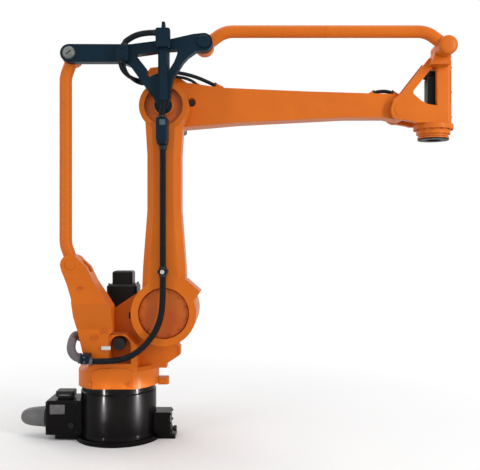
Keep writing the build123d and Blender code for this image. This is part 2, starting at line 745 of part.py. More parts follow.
turn_motor = motor(
    Plane.XY.offset(DRUM_TOP_Z).move(Location((TURN_MOTOR_X, TURN_MOTOR_Y, 0))),
    MOTOR_WIDTH,
    SWING_CAP_WIDTH,
    TURN_MOTOR_TOP_Z - DRUM_TOP_Z,
    TURN_CAP_HEIGHT,
)
save(turn_motor, "turn_motor")

with BuildPart() as cavity_connector:
    with BuildSketch(side_plane(PLINTH_NEAR - ARCH_DEPTH)):
        with Locations((ARCH_X - 6, ARCH_SPRING_Z + 6)):
            Circle(20)
    extrude(amount=34)
    with BuildSketch(side_plane(PLINTH_NEAR - ARCH_DEPTH + 34)):
        with Locations((ARCH_X - 6, ARCH_SPRING_Z + 6)):
            Circle(24)
    extrude(amount=18)
save(cavity_connector, "cavity_connector")

with BuildPart() as rear_rod_pin:
    with BuildSketch(side_plane(EAR_NEAR)):
        with Locations(REAR_LOW):
            Circle(ROD_PIN / 2 - RUNNING_GAP)
    extrude(amount=-(EAR_NEAR - EAR_FAR))
save(rear_rod_pin, "rear_rod_pin")

with BuildPart() as conduit_clamp:
    with BuildSketch(side_plane(CLAMP_NEAR)):
        with Locations(CLAMP_PLACE):
            RectangleRounded(CLAMP_WIDTH, CLAMP_HEIGHT, 6)
    extrude(amount=-(CLAMP_NEAR - BRACKET_FOOT_NEAR))
save(conduit_clamp, "conduit_clamp")

feed_conduit = hose(FEED_ROUTE, FEED_DIAMETER)
save(feed_conduit, "feed_conduit")

# Link arm.

with BuildPart() as link_arm_casting:
    with BuildSketch(side_plane(LINK_NEAR)):
        with BuildLine():
            Polyline(
                (SHOULDER_X - LINK_FOOT_WIDTH / 2, SHOULDER_Z + LINK_FOOT_RADIUS * 0.7),
                (SHOULDER_X - LINK_FOOT_WIDTH / 2 + 4, SHOULDER_Z + LINK_FLARE_Z),
                (SHOULDER_X - LINK_WAIST / 2, SHOULDER_Z + LINK_WAIST_LOW_Z),
                (SHOULDER_X - LINK_WAIST / 2, ELBOW[1] - LINK_WAIST_HIGH_Z),
                (SHOULDER_X - LINK_HEAD_WIDTH / 2, ELBOW[1] - LINK_HEAD_RADIUS * 0.6),
                (SHOULDER_X + LINK_HEAD_WIDTH / 2, ELBOW[1] - LINK_HEAD_RADIUS * 0.6),
                (SHOULDER_X + LINK_WAIST / 2, ELBOW[1] - LINK_WAIST_HIGH_Z),
                (SHOULDER_X + LINK_WAIST / 2, SHOULDER_Z + LINK_WAIST_LOW_Z),
                (SHOULDER_X + LINK_FOOT_WIDTH / 2 - 4, SHOULDER_Z + LINK_FLARE_Z),
                (SHOULDER_X + LINK_FOOT_WIDTH / 2, SHOULDER_Z + LINK_FOOT_RADIUS * 0.7),
                close=True,
            )
        make_face()
    extrude(amount=-LINK_DEPTH)
    near_edges = link_arm_casting.faces().sort_by(Axis.Y)[0].edges()
    chamfer(near_edges.filter_by(Axis.X, reverse=True), length=LINK_BEVEL)
    with BuildSketch(side_plane(LINK_NEAR)):
        with Locations(SHOULDER):
            Circle(LINK_FOOT_RADIUS)
        with Locations(ELBOW):
            Circle(LINK_HEAD_RADIUS)
        with BuildLine():
            Polyline(
                (SHOULDER_X, SHOULDER_Z + LUG_UP + 60),
                (SHOULDER_X + LINK_FOOT_WIDTH / 2 + 4, SHOULDER_Z + LUG_UP + 46),
                (SHOULDER_X + LUG_REACH, SHOULDER_Z + LUG_UP),
                (SHOULDER_X + LUG_REACH - 22, SHOULDER_Z + LUG_UP - 32),
                (SHOULDER_X, SHOULDER_Z),
                close=True,
            )
        make_face()
    extrude(amount=-LINK_DEPTH)
    with BuildSketch(side_plane(LINK_NEAR)):
        with Locations(SHOULDER):
            Circle(LINK_FOOT_RADIUS - RIM_WIDTH)
        with Locations(ELBOW):
            Circle(LINK_HEAD_RADIUS - RIM_WIDTH * 0.75)
            Circle(ELBOW_BOSS_RADIUS + SIDE_GAP, mode=Mode.SUBTRACT)
    extrude(amount=-RECESS_DEPTH, mode=Mode.SUBTRACT)
    for centre, radius in ((SHOULDER, SHOULDER_PIN / 2), (ELBOW, ELBOW_PIN / 2)):
        with BuildSketch(side_plane(LINK_NEAR)):
            with Locations(centre):
                Circle(radius + RUNNING_GAP)
        extrude(amount=-LINK_DEPTH, mode=Mode.SUBTRACT)
save(link_arm_casting, "link_arm_casting")

with BuildPart() as shoulder_cover:
    with BuildSketch(side_plane(LINK_NEAR - RECESS_DEPTH)):
        with Locations(SHOULDER):
            Circle(COVER_RADIUS)
    extrude(amount=COVER_THICKNESS)
    chamfer(shoulder_cover.faces().sort_by(Axis.Y)[0].edges(), length=COVER_THICKNESS / 2)
save(shoulder_cover, "shoulder_cover")

with BuildPart() as conduit_clip:
    with BuildSketch(side_plane(LINK_NEAR)):
        with Locations((SHOULDER_X, CLIP_Z)):
            RectangleRounded(CLIP_WIDTH, CLIP_HEIGHT, 5)
    extrude(amount=CLIP_DEPTH)
save(conduit_clip, "conduit_clip")

with BuildPart() as socket_box:
    with BuildSketch(side_plane(LINK_NEAR)):
        with BuildLine():
            Polyline(
                (SHOULDER_X - SOCKET_WIDTH / 2, SOCKET_TOP_Z),
                (SHOULDER_X + SOCKET_WIDTH / 2, SOCKET_TOP_Z),
                (SHOULDER_X + SOCKET_WIDTH / 2, SOCKET_LOW_Z + SOCKET_TAPER),
                (SHOULDER_X + SOCKET_FOOT_WIDTH / 2, SOCKET_LOW_Z),
                (SHOULDER_X - SOCKET_FOOT_WIDTH / 2, SOCKET_LOW_Z),
                (SHOULDER_X - SOCKET_WIDTH / 2, SOCKET_LOW_Z + SOCKET_TAPER),
                close=True,
            )
        make_face()
    extrude(amount=SOCKET_DEPTH)
    chamfer(socket_box.faces().sort_by(Axis.Y)[0].edges(), length=4)
save(socket_box, "socket_box")

with BuildPart() as conduit_run:
    with BuildSketch(Plane.XY.offset(CLIP_Z + CLIP_HEIGHT / 2)):
        with Locations((SHOULDER_X, -CONDUIT_NEAR)):
            Circle(CONDUIT_DIAMETER / 2)
    extrude(amount=SOCKET_LOW_Z - CLIP_Z - CLIP_HEIGHT / 2)
save(conduit_run, "conduit_run")

save(hose(LOOP_ROUTE, CONDUIT_DIAMETER), "conduit_loop")

# Linkage lever.

with BuildPart() as linkage_lever:
    with BuildSketch(side_plane(LEVER_NEAR)):
        with BuildLine():
            Polyline(
                (REAR_HIGH[0], REAR_HIGH[1] + LEVER_END_RADIUS),
                *[(ELBOW[0] + x, ELBOW[1] + z) for x, z in LEVER_TOP_LINE],
                (TOP_BACK[0], TOP_BACK[1] + LEVER_END_RADIUS),
                (TOP_BACK[0], TOP_BACK[1] - LEVER_END_RADIUS),
                *[(ELBOW[0] + x, ELBOW[1] + z) for x, z in LEVER_FRONT_LINE],
                *[(ELBOW[0] + x, ELBOW[1] + z) for x, z in LEVER_BACK_LINE],
                (REAR_HIGH[0], REAR_HIGH[1] - LEVER_END_RADIUS),
                close=True,
            )
        make_face()
        with Locations(REAR_HIGH, TOP_BACK):
            Circle(LEVER_END_RADIUS)
        for window in (LEVER_BACK_WINDOW, LEVER_FRONT_WINDOW):
            with BuildLine():
                Polyline(*[(ELBOW[0] + x, ELBOW[1] + z) for x, z in window], close=True)
            make_face(mode=Mode.SUBTRACT)
    extrude(amount=-LEVER_DEPTH)
    with BuildSketch(side_plane(LEVER_FAR)):
        with Locations(ELBOW):
            Circle(ELBOW_BOSS_RADIUS)
    extrude(amount=-(LEVER_GAP - SEAT_GAP))
    with BuildSketch(side_plane(LEVER_NEAR)):
        with Locations(REAR_HIGH, TOP_BACK):
            Circle(ROD_PIN / 2)
    extrude(amount=-LEVER_DEPTH, mode=Mode.SUBTRACT)
save(linkage_lever, "linkage_lever")

with BuildPart() as elbow_pin:
    with BuildSketch(side_plane(LEVER_FAR - LEVER_GAP + SEAT_GAP)):
        with Locations(ELBOW):
            Circle(ELBOW_PIN / 2)
    extrude(amount=-(LINK_DEPTH - SEAT_GAP))
save(elbow_pin, "elbow_pin")

with BuildPart() as lever_pins:
    with BuildSketch(side_plane(LEVER_NEAR)):
        with Locations(REAR_HIGH, TOP_BACK):
            Circle(ROD_PIN / 2)
    extrude(amount=-(LEVER_DEPTH + ROD_DEPTH + SEAT_GAP))
    with BuildSketch(side_plane(LEVER_NEAR)):
        with Locations(REAR_HIGH, TOP_BACK):
            Circle(PIN_HEAD_RADIUS)
    extrude(amount=PIN_HEAD_DEPTH)
    chamfer(lever_pins.faces().sort_by(Axis.Y)[0:2].edges(), length=3)
save(lever_pins, "lever_pins")

with BuildPart() as hose_mast:
    with BuildSketch(side_plane(LEVER_NEAR + MAST_DEPTH)):
        with BuildLine():
            Polyline(
                (MAST_X - MAST_WIDTH / 2, MAST_LOW_Z),
                (MAST_X - MAST_WIDTH / 2, MAST_SHOULDER_Z),
                (MAST_X - MAST_TIP_WIDTH * 0.7, MAST_TOP_Z - MAST_TIP_LENGTH),
                (MAST_X - MAST_TIP_WIDTH / 2, MAST_TOP_Z),
                (MAST_X + MAST_TIP_WIDTH / 2, MAST_TOP_Z),
                (MAST_X + MAST_TIP_WIDTH * 0.7, MAST_TOP_Z - MAST_TIP_LENGTH),
                (MAST_X + MAST_WIDTH / 2, MAST_SHOULDER_Z),
                (MAST_X + MAST_WIDTH / 2, MAST_LOW_Z),
                close=True,
            )
        make_face()
    extrude(amount=-MAST_DEPTH)
save(hose_mast, "hose_mast")

with BuildPart() as mast_clamp:
    with BuildSketch(side_plane(LEVER_NEAR + MAST_DEPTH + MAST_CLAMP_DEPTH)):
        with Locations((MAST_X, (MAST_CLAMP_TOP_Z + MAST_CLAMP_LOW_Z) / 2)):
            RectangleRounded(MAST_CLAMP_WIDTH, MAST_CLAMP_TOP_Z - MAST_CLAMP_LOW_Z, 8)
    extrude(amount=-MAST_CLAMP_DEPTH)
save(mast_clamp, "mast_clamp")

with BuildPart() as lever_clamp:
    with BuildSketch(side_plane(LEVER_NEAR + LEVER_CLAMP_DEPTH)):
        with Locations(LEVER_CLAMP_PLACE):
            RectangleRounded(LEVER_CLAMP_WIDTH, LEVER_CLAMP_HEIGHT, 6)
    extrude(amount=-LEVER_CLAMP_DEPTH)
save(lever_clamp, "lever_clamp")

save(hose(LEVER_HOSE_ROUTE, LEVER_HOSE_DIAMETER), "lever_hose")
save(hose(NECK_ROUTE, CONDUIT_DIAMETER), "neck_conduit")
save(hose(ELBOW_HOSE_ROUTE, HOSE_DIAMETER), "elbow_hose")

# Rods.


def rod(name, low, high, side, low_gap, high_gap):
    """Make a rod: two eyes joined by a round tube that runs beside the line of its pivots."""
    along = Vector(high[0] - low[0], high[1] - low[1]).normalized()
    across = Vector(-along.Y, along.X) * side
    start = Vector(*low) + along * ROD_BEND_RUN + across
    finish = Vector(*high) - along * ROD_BEND_RUN + across
    corners = [low, (start.X, start.Y), (finish.X, finish.Y), high]
    with BuildPart() as piece:
        with BuildSketch(side_plane(ROD_NEAR)):
            with Locations(low, high):
                Circle(ROD_EYE_RADIUS)
        extrude(amount=-ROD_DEPTH)
        with BuildLine():
            FilletPolyline(*[(x, -ROD_MIDDLE, z) for x, z in corners], radius=ROD_BEND_RADIUS)
        with BuildSketch(Plane((low[0], -ROD_MIDDLE, low[1]), z_dir=(start.X - low[0], 0, start.Y - low[1]))):
            Circle(ROD_TUBE_DIAMETER / 2)
        sweep()
        for centre, gap in ((low, low_gap), (high, high_gap)):
            with BuildSketch(side_plane(ROD_NEAR)):
                with Locations(centre):
                    Circle(ROD_PIN / 2 + gap)
            extrude(amount=-ROD_DEPTH, mode=Mode.SUBTRACT)
    save(piece, name)


rod("rear_rod", REAR_LOW, REAR_HIGH, REAR_ROD_SIDE, RUNNING_GAP, OPEN_PIVOT_GAP)
rod("upper_rod", TOP_BACK, TOP_FRONT, UPPER_ROD_SIDE, RUNNING_GAP, OPEN_PIVOT_GAP)

# Arm.

with BuildPart() as arm_casting:
    with BuildSketch(side_plane(ARM_ROOT_DEPTH / 2)):
        with Locations(ELBOW):
            Circle(ARM_ROOT_RADIUS)
        with BuildLine():
            Polyline(
                (ELBOW[0], ELBOW[1] - ARM_ROOT_RADIUS),
                *[(ELBOW[0] + share * ARM_LENGTH, ELBOW[1] + z) for share, z in ARM_LOW_LINE],
                (WRIST[0], WRIST[1] - ARM_TIP_RADIUS),
                (WRIST[0] + ARM_TIP_RADIUS * 0.4, WRIST[1] + ARM_TIP_RADIUS * 0.9),
                (WRIST[0] - 14, WRIST[1] + 69),
                *[(ELBOW[0] + share * ARM_LENGTH, ELBOW[1] + z) for share, z in ARM_TOP_LINE],
                (ELBOW[0], ELBOW[1] + ARM_ROOT_RADIUS),
                close=True,
            )
        make_face()
        with Locations(WRIST):
            Circle(ARM_TIP_RADIUS)
    extrude(amount=-ARM_ROOT_DEPTH)
    for side in (1, -1):
        with BuildSketch(Plane.XY.offset(ELBOW[1] + 2 * ARM_ROOT_RADIUS)):
            with BuildLine():
                Polyline(
                    (ELBOW[0] + ARM_TAPER_START, side * ARM_ROOT_DEPTH / 2),
                    (WRIST[0] - 2 * ARM_TIP_RADIUS, side * ARM_TIP_DEPTH / 2),
                    (WRIST[0] + 2 * ARM_TIP_RADIUS, side * ARM_TIP_DEPTH / 2),
                    (WRIST[0] + 2 * ARM_TIP_RADIUS, side * ARM_ROOT_DEPTH),
                    (ELBOW[0] + ARM_TAPER_START, side * ARM_ROOT_DEPTH),
                    close=True,
                )
            make_face()
        extrude(amount=-4 * ARM_ROOT_RADIUS, mode=Mode.SUBTRACT)
    with BuildSketch(side_plane(ARM_ROOT_DEPTH / 2)):
        with Locations((ELBOW[0] + ARM_POCKET_PLACE[0], ELBOW[1] + ARM_POCKET_PLACE[1])):
            Circle(ARM_POCKET_RADIUS)
    extrude(amount=-ARM_POCKET_DEPTH, mode=Mode.SUBTRACT)
    for x, y, z, turn in GLANDS:
        with BuildSketch(Plane((x, y, z), z_dir=(cos(radians(turn)), 0, sin(radians(turn))))):
            Circle(GLAND_RADIUS)
        extrude(amount=-GLAND_LENGTH)
    for centre, radius in ((ELBOW, ELBOW_PIN / 2), (WRIST, WRIST_PIN / 2)):
        with BuildSketch(side_plane(ARM_ROOT_DEPTH / 2)):
            with Locations(centre):
                Circle(radius + RUNNING_GAP)
        extrude(amount=-ARM_ROOT_DEPTH, mode=Mode.SUBTRACT)
save(arm_casting, "arm_casting")

with BuildPart() as elbow_housing:
    with BuildSketch(side_plane(ELBOW_HOUSING_NEAR)):
        with BuildLine():
            Polyline(*[(ELBOW[0] + x, ELBOW[1] + z) for x, z in HOUSING_LINE], close=True)
        make_face()
    extrude(amount=-2 * ELBOW_HOUSING_NEAR)
    add(arm_casting.part, mode=Mode.SUBTRACT)
    with BuildSketch(side_plane(ARM_ROOT_DEPTH)):
        with Locations(ELBOW):
            Circle(ARM_ROOT_RADIUS - 10)
    extrude(amount=-2 * ARM_ROOT_DEPTH, mode=Mode.SUBTRACT)
save(elbow_housing, "elbow_housing")

with BuildPart() as tilt_gearbox:
    with BuildSketch(side_plane(-ARM_ROOT_DEPTH / 2)):
        with Locations(ELBOW):
            Circle(GEARBOX_RADIUS - 10)
    extrude(amount=-TILT_GEARBOX_DEPTH)
    chamfer(tilt_gearbox.faces().sort_by(Axis.Y)[-1].edges(), length=8)
save(tilt_gearbox, "tilt_gearbox")

tilt_motor = motor(
    Plane(
        (ELBOW[0], ARM_ROOT_DEPTH / 2 + TILT_GEARBOX_DEPTH, ELBOW[1]), x_dir=(1, 0, 0), z_dir=(0, 1, 0)
    ),
    MOTOR_WIDTH,
    SWING_CAP_WIDTH,
    TILT_MOTOR_LENGTH,
    TURN_CAP_HEIGHT,
)
save(tilt_motor, "tilt_motor")

save(hose(ARM_HOSE_ROUTE, HOSE_DIAMETER), "arm_hose")

# Wrist.

with BuildPart() as wrist_frame:
    for near in (CHEEK_FAR + CHEEK_DEPTH, -CHEEK_FAR):
        with BuildSketch(side_plane(near)):
            with Locations(WRIST):
                Circle(WRIST_BOSS_RADIUS)
            with BuildLine():
                Polyline(
                    (WRIST[0] - WRIST_BOSS_RADIUS * 0.5, WRIST[1] - WRIST_BOSS_RADIUS * 0.86),
                    (WRIST[0] - WRIST_BOSS_RADIUS, WRIST[1]),
                    (WRIST[0] - WRIST_BOSS_RADIUS * 0.7, WRIST[1] + 44),
                    (WRIST[0] + 8, WRIST[1] + 72),
                    (TOOL_X - 34, TOP_FRONT[1] - 24),
                    (TOOL_X - 28, FRAME_TOP_Z),
                    (CHEEK_FRONT_X - 8, FRAME_TOP_Z),
                    (CHEEK_FRONT_X, FRAME_TOP_Z - 20),
                    (CHEEK_FRONT_X, FRAME_LOW_Z),
                    (TOOL_X - 84, FRAME_LOW_Z),
                    (TOOL_X - 106, FRAME_LOW_Z + 6),
                    close=True,
                )
            make_face()
            with BuildLine():
                Polyline(
                    (WRIST[0] + 50, WRIST[1] + 64),
                    (WRIST[0] + 50, WRIST[1] + 76),
                    (TOOL_X - 18, WRIST[1] + 176),
                    (WINDOW_FRONT_X, WRIST[1] + 183),
                    (WINDOW_FRONT_X, WRIST[1] + 17),
                    (TOOL_X - 40, WRIST[1] + 23),
                    (TOOL_X - 66, WRIST[1] + 36),
                    close=True,
                )
            make_face(mode=Mode.SUBTRACT)
        extrude(amount=-CHEEK_DEPTH)
    with BuildSketch(side_plane(CHEEK_FAR)):
        with BuildLine():
            Polyline(
                (WRIST_BLOCK_X, FRAME_LOW_Z),
                (CHEEK_FRONT_X, FRAME_LOW_Z),
                (CHEEK_FRONT_X, WRIST[1] + WRIST_BLOCK_UP),
                (WRIST_BLOCK_X, WRIST[1] + WRIST_BLOCK_UP),
                close=True,
            )
        make_face()
    extrude(amount=-2 * CHEEK_FAR)
    with BuildSketch(Plane.XY.offset(FRAME_LOW_Z)):
        with Locations(((CHEEK_FRONT_X + FRAME_FRONT_X) / 2, 0)):
            Rectangle(FRAME_FRONT_X - CHEEK_FRONT_X, FRONT_COVER_WIDTH)
    extrude(amount=FRAME_TOP_Z - FRAME_LOW_Z)
    front_corners = wrist_frame.edges().filter_by(Axis.Z).group_by(Axis.X)[-1]
    fillet(front_corners, radius=FRONT_COVER_CORNER)
    with BuildSketch(side_plane(ROD_FAR - SEAT_GAP)):
        with Locations(TOP_FRONT):
            Circle(ROD_EYE_RADIUS - 4)
        with BuildLine():
            Polyline(
                (TOP_FRONT[0] - ROD_EYE_RADIUS * 0.8, TOP_FRONT[1]),
                (TOOL_X - 40, FRAME_TOP_Z - 32),
                (CHEEK_FRONT_X, FRAME_TOP_Z - 32),
                (TOP_FRONT[0] + ROD_EYE_RADIUS * 0.8, TOP_FRONT[1]),
                close=True,
            )
        make_face()
    extrude(amount=-(ROD_FAR - SEAT_GAP - CHEEK_FAR))
    for centre, radius in ((WRIST, WRIST_PIN / 2), (TOP_FRONT, ROD_PIN / 2)):
        with BuildSketch(side_plane(ROD_FAR)):
            with Locations(centre):
                Circle(radius)
        extrude(amount=-2 * ROD_FAR, mode=Mode.SUBTRACT)
save(wrist_frame, "wrist_frame")

with BuildPart() as wrist_pins:
    with BuildSketch(side_plane(CHEEK_FAR + CHEEK_DEPTH)):
        with Locations(WRIST):
            Circle(WRIST_PIN / 2)
    extrude(amount=-2 * (CHEEK_FAR + CHEEK_DEPTH))
    with BuildSketch(side_plane(CHEEK_FAR)):
        with Locations(TOP_FRONT):
            Circle(ROD_PIN / 2)
    extrude(amount=ROD_NEAR + SEAT_GAP - CHEEK_FAR)
    with BuildSketch(side_plane(ROD_NEAR + SEAT_GAP)):
        with Locations(TOP_FRONT):
            Circle(PIN_HEAD_RADIUS)
    extrude(amount=PIN_HEAD_DEPTH)
save(wrist_pins, "wrist_pins")

wrist_motor = motor(
    Plane.XY.offset(WRIST[1] + WRIST_BLOCK_UP).move(Location((TOOL_X, 0, 0))),
    WRIST_MOTOR_WIDTH,
    WRIST_MOTOR_WIDTH * 0.8,
    WRIST_MOTOR_HEIGHT,
    WRIST_CAP_HEIGHT,
)
save(wrist_motor, "wrist_motor")

with BuildPart() as wrist_gear_housing:
    with BuildSketch(Plane.XY.offset(FRAME_LOW_Z)):
        with Locations((TOOL_X, 0)):
            Circle(RING_RADIUS)
    extrude(amount=-RING_HEIGHT)
    with BuildSketch(Plane.XY.offset(FRAME_LOW_Z - RING_HEIGHT)):
        with Locations((TOOL_X, 0)):
            Circle(LOWER_RING_RADIUS)
    extrude(amount=-LOWER_RING_HEIGHT)
    with BuildSketch(Plane.XY.offset(FRAME_LOW_Z - RING_HEIGHT - LOWER_RING_HEIGHT)):
        with Locations((TOOL_X, 0)):
            Circle(COLLAR_RADIUS)
    extrude(amount=-COLLAR_HEIGHT)
save(wrist_gear_housing, "wrist_gear_housing")

with BuildPart() as tool_flange:
    with BuildSketch(Plane.XY.offset(FLANGE_TOP_Z)):
        with Locations((TOOL_X, 0)):
            Circle(FLANGE_DIAMETER / 2)
    extrude(amount=-FLANGE_THICKNESS)
    with Locations((TOOL_X, 0, FLANGE_TOP_Z)):
        with PolarLocations(FLANGE_BOLT_CIRCLE / 2, FLANGE_BOLT_COUNT):
            Hole(FLANGE_BOLT_HOLE / 2, depth=FLANGE_THICKNESS)
    with Locations(Location((TOOL_X, 0, FLANGE_TOP_Z - FLANGE_THICKNESS), (180, 0, 0))):
        Hole(FLANGE_BORE / 2, depth=FLANGE_BORE_DEPTH)
save(tool_flange, "tool_flange")
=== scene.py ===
"""Dresses the palletising robot arm.

It makes the finishes, hoses, fasteners and fittings, the studio and the camera.
"""

import logging
import math
from collections.abc import Callable, Iterable, Sequence
from dataclasses import dataclass
from enum import Enum

import bmesh
import bpy
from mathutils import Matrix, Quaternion, Vector

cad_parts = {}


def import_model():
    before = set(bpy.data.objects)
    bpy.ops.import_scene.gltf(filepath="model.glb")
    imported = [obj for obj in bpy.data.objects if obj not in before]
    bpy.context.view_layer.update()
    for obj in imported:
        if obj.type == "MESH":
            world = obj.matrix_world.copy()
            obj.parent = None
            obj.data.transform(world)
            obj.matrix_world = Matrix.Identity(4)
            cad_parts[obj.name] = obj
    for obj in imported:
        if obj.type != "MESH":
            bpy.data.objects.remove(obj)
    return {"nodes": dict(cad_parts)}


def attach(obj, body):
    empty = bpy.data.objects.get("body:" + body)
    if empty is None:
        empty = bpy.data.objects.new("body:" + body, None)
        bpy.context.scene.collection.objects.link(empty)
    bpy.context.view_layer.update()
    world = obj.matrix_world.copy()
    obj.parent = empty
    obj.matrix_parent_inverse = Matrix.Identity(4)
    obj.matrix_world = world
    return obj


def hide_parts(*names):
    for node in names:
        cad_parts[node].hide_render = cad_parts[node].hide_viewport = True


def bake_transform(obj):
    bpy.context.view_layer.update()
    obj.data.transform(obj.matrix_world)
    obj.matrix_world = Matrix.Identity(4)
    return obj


log = logging.getLogger("robot_arm")

Place = tuple[float, float, float]
Colour = tuple[float, float, float]
MILLIMETRE = 0.001


class Facing(Enum):
    """The direction that a fitting's head looks in."""

    NEAR = (0.0, -1.0, 0.0)
    FAR = (0.0, 1.0, 0.0)
    UP = (0.0, 0.0, 1.0)
    DOWN = (0.0, 0.0, -1.0)
    FRONT = (1.0, 0.0, 0.0)
    BACK = (-1.0, 0.0, 0.0)

    @property
    def vector(self) -> Vector:
        """The direction as a vector."""
        return Vector(self.value)


# Node helpers.


def link(tree: bpy.types.NodeTree, source: bpy.types.NodeSocket, target: bpy.types.NodeSocket) -> None:
    """Join two sockets of a tree."""
    tree.links.new(source, target)


def new_node(tree: bpy.types.NodeTree, kind: str, **values: object) -> bpy.types.Node:
    """Add a shader node.

    Args:
        tree: The tree that gets the node.
        kind: The node's type.
        values: Attributes of the node, or default values of its inputs.

    Returns:
        The new node.
    """
    node = tree.nodes.new(kind)
    for key, value in values.items():
        if hasattr(node, key):
            setattr(node, key, value)
        else:
            node.inputs[key.replace("_", " ")].default_value = value
    return node


def new_group(name: str, inputs: dict[str, float | Colour], outputs: dict[str, str]) -> bpy.types.NodeTree:
    """Start a node group with named sockets.

    Args:
        name: The group's name.
        inputs: Each input's name and default value, a number or a colour.
        outputs: Each output's name and socket type.

    Returns:
        The group, with its input and output nodes in place.
    """
    group = bpy.data.node_groups.new(name, "ShaderNodeTree")
    for key, value in inputs.items():
        kind = "NodeSocketFloat" if isinstance(value, float) else "NodeSocketColor"
        socket = group.interface.new_socket(key, in_out="INPUT", socket_type=kind)
        socket.default_value = value if isinstance(value, float) else (*value, 1.0)
    for key, kind in outputs.items():
        group.interface.new_socket(key, in_out="OUTPUT", socket_type=kind)
    group.nodes.new("NodeGroupInput")
    group.nodes.new("NodeGroupOutput")
    return group


def group_ends(group: bpy.types.NodeTree) -> tuple[bpy.types.Node, bpy.types.Node]:
    """Give a group's input and output nodes."""
    return group.nodes["Group Input"], group.nodes["Group Output"]


def ramp(
    tree: bpy.types.NodeTree, source: bpy.types.NodeSocket, low: float, high: float
) -> bpy.types.NodeSocket:
    """Stretch a value so that low becomes 0 and high becomes 1.

    Args:
        tree: The tree that gets the node.
        source: The value's socket.
        low: The value that becomes 0.
        high: The value that becomes 1.

    Returns:
        The stretched value's socket.
    """
    node = new_node(tree, "ShaderNodeMapRange", clamp=True)
    node.inputs["From Min"].default_value = low
    node.inputs["From Max"].default_value = high
    link(tree, source, node.inputs["Value"])
    return node.outputs["Result"]


def combine(
    tree: bpy.types.NodeTree, operation: str, one: bpy.types.NodeSocket, other: bpy.types.NodeSocket | float
) -> bpy.types.NodeSocket:
    """Combine two values by a Math node.

    Args:
        tree: The tree that gets the node.
        operation: The Math node's operation, such as MULTIPLY.
        one: The first value's socket.
        other: The second value, plain or from a socket.

    Returns:
        The result's socket.
    """
    node = new_node(tree, "ShaderNodeMath", operation=operation)
    link(tree, one, node.inputs[0])
    if isinstance(other, bpy.types.NodeSocket):
        link(tree, other, node.inputs[1])
    else:
        node.inputs[1].default_value = other
    return node.outputs[0]


def blend_colours(
    tree: bpy.types.NodeTree,
    mask: bpy.types.NodeSocket,
    under: bpy.types.NodeSocket | Colour,
    over: bpy.types.NodeSocket | Colour,
) -> bpy.types.NodeSocket:
    """Lay one colour over another where a mask is 1.

    Args:
        tree: The tree that gets the mix.
        mask: How much of the upper colour shows.
        under: The lower colour, plain or from a socket.
        over: The upper colour, plain or from a socket.

    Returns:
        The mixed colour's socket.
    """
    mix = new_node(tree, "ShaderNodeMix", data_type="RGBA")
    link(tree, mask, mix.inputs[0])
    for socket, colour in ((mix.inputs[6], under), (mix.inputs[7], over)):
        if isinstance(colour, bpy.types.NodeSocket):
            link(tree, colour, socket)
        else:
            socket.default_value = (*colour, 1.0)
    return mix.outputs[2]


# Cosines of the turn from a face's own normal to the rounded one, where an edge starts to lighten and where
# it is fully lighter, partly rubbed bare and partly a painted highlight.
EDGE_STARTS, EDGE_BARE = 0.995, 0.86
# The upward part of a normal from which dust stays on a face.
DUST_STAYS = 0.35


def edge_wear_and_highlight_group() -> bpy.types.NodeTree:
    """Make the group that finds rounded edges, for rubbed paint and a painted highlight on them.

    Returns:
        A group with the mask of rubbed paint and painted highlight on the edges, and a normal that rounds
        them.
    """
    group = new_group(
        "edge_wear_and_highlight",
        {"Radius": 0.003, "Breakup": 60.0},
        {"Mask": "NodeSocketFloat", "Normal": "NodeSocketVector"},
    )
    start, end = group_ends(group)
    bevel = new_node(group, "ShaderNodeBevel", samples=6)
    link(group, start.outputs["Radius"], bevel.inputs["Radius"])
    geometry = new_node(group, "ShaderNodeNewGeometry")
    dot = new_node(group, "ShaderNodeVectorMath", operation="DOT_PRODUCT")
    link(group, bevel.outputs["Normal"], dot.inputs[0])
    link(group, geometry.outputs["Normal"], dot.inputs[1])
    edge = ramp(group, dot.outputs["Value"], EDGE_STARTS, EDGE_BARE)
    place = new_node(group, "ShaderNodeTexCoord")
    noise = new_node(group, "ShaderNodeTexNoise", Detail=4.0, Roughness=0.65)
    link(group, place.outputs["Object"], noise.inputs["Vector"])
    link(group, start.outputs["Breakup"], noise.inputs["Scale"])
    patches = ramp(group, noise.outputs["Fac"], low=0.42, high=0.62)
    link(group, combine(group, "MULTIPLY", edge, patches), end.inputs["Mask"])
    link(group, bevel.outputs["Normal"], end.inputs["Normal"])
    return group


def surface_grain_group() -> bpy.types.NodeTree:
    """Make the group for the skin of a cast or moulded surface.

    Returns:
        A group with a fine height and a broad cloudy value.
    """
    group = new_group(
        "surface_grain",
        {"Fine": 420.0, "Broad": 5.0},
        {"Height": "NodeSocketFloat", "Cloud": "NodeSocketFloat"},
    )
    start, end = group_ends(group)
    place = new_node(group, "ShaderNodeTexCoord")
    fine = new_node(group, "ShaderNodeTexNoise", Detail=5.0, Roughness=0.6)
    broad = new_node(group, "ShaderNodeTexNoise", Detail=3.0, Roughness=0.55, Distortion=0.4)
    link(group, place.outputs["Object"], fine.inputs["Vector"])
    link(group, place.outputs["Object"], broad.inputs["Vector"])
    link(group, start.outputs["Fine"], fine.inputs["Scale"])
    link(group, start.outputs["Broad"], broad.inputs["Scale"])
    link(group, fine.outputs["Fac"], end.inputs["Height"])
    link(group, ramp(group, broad.outputs["Fac"], low=0.3, high=0.7), end.inputs["Cloud"])
    return group


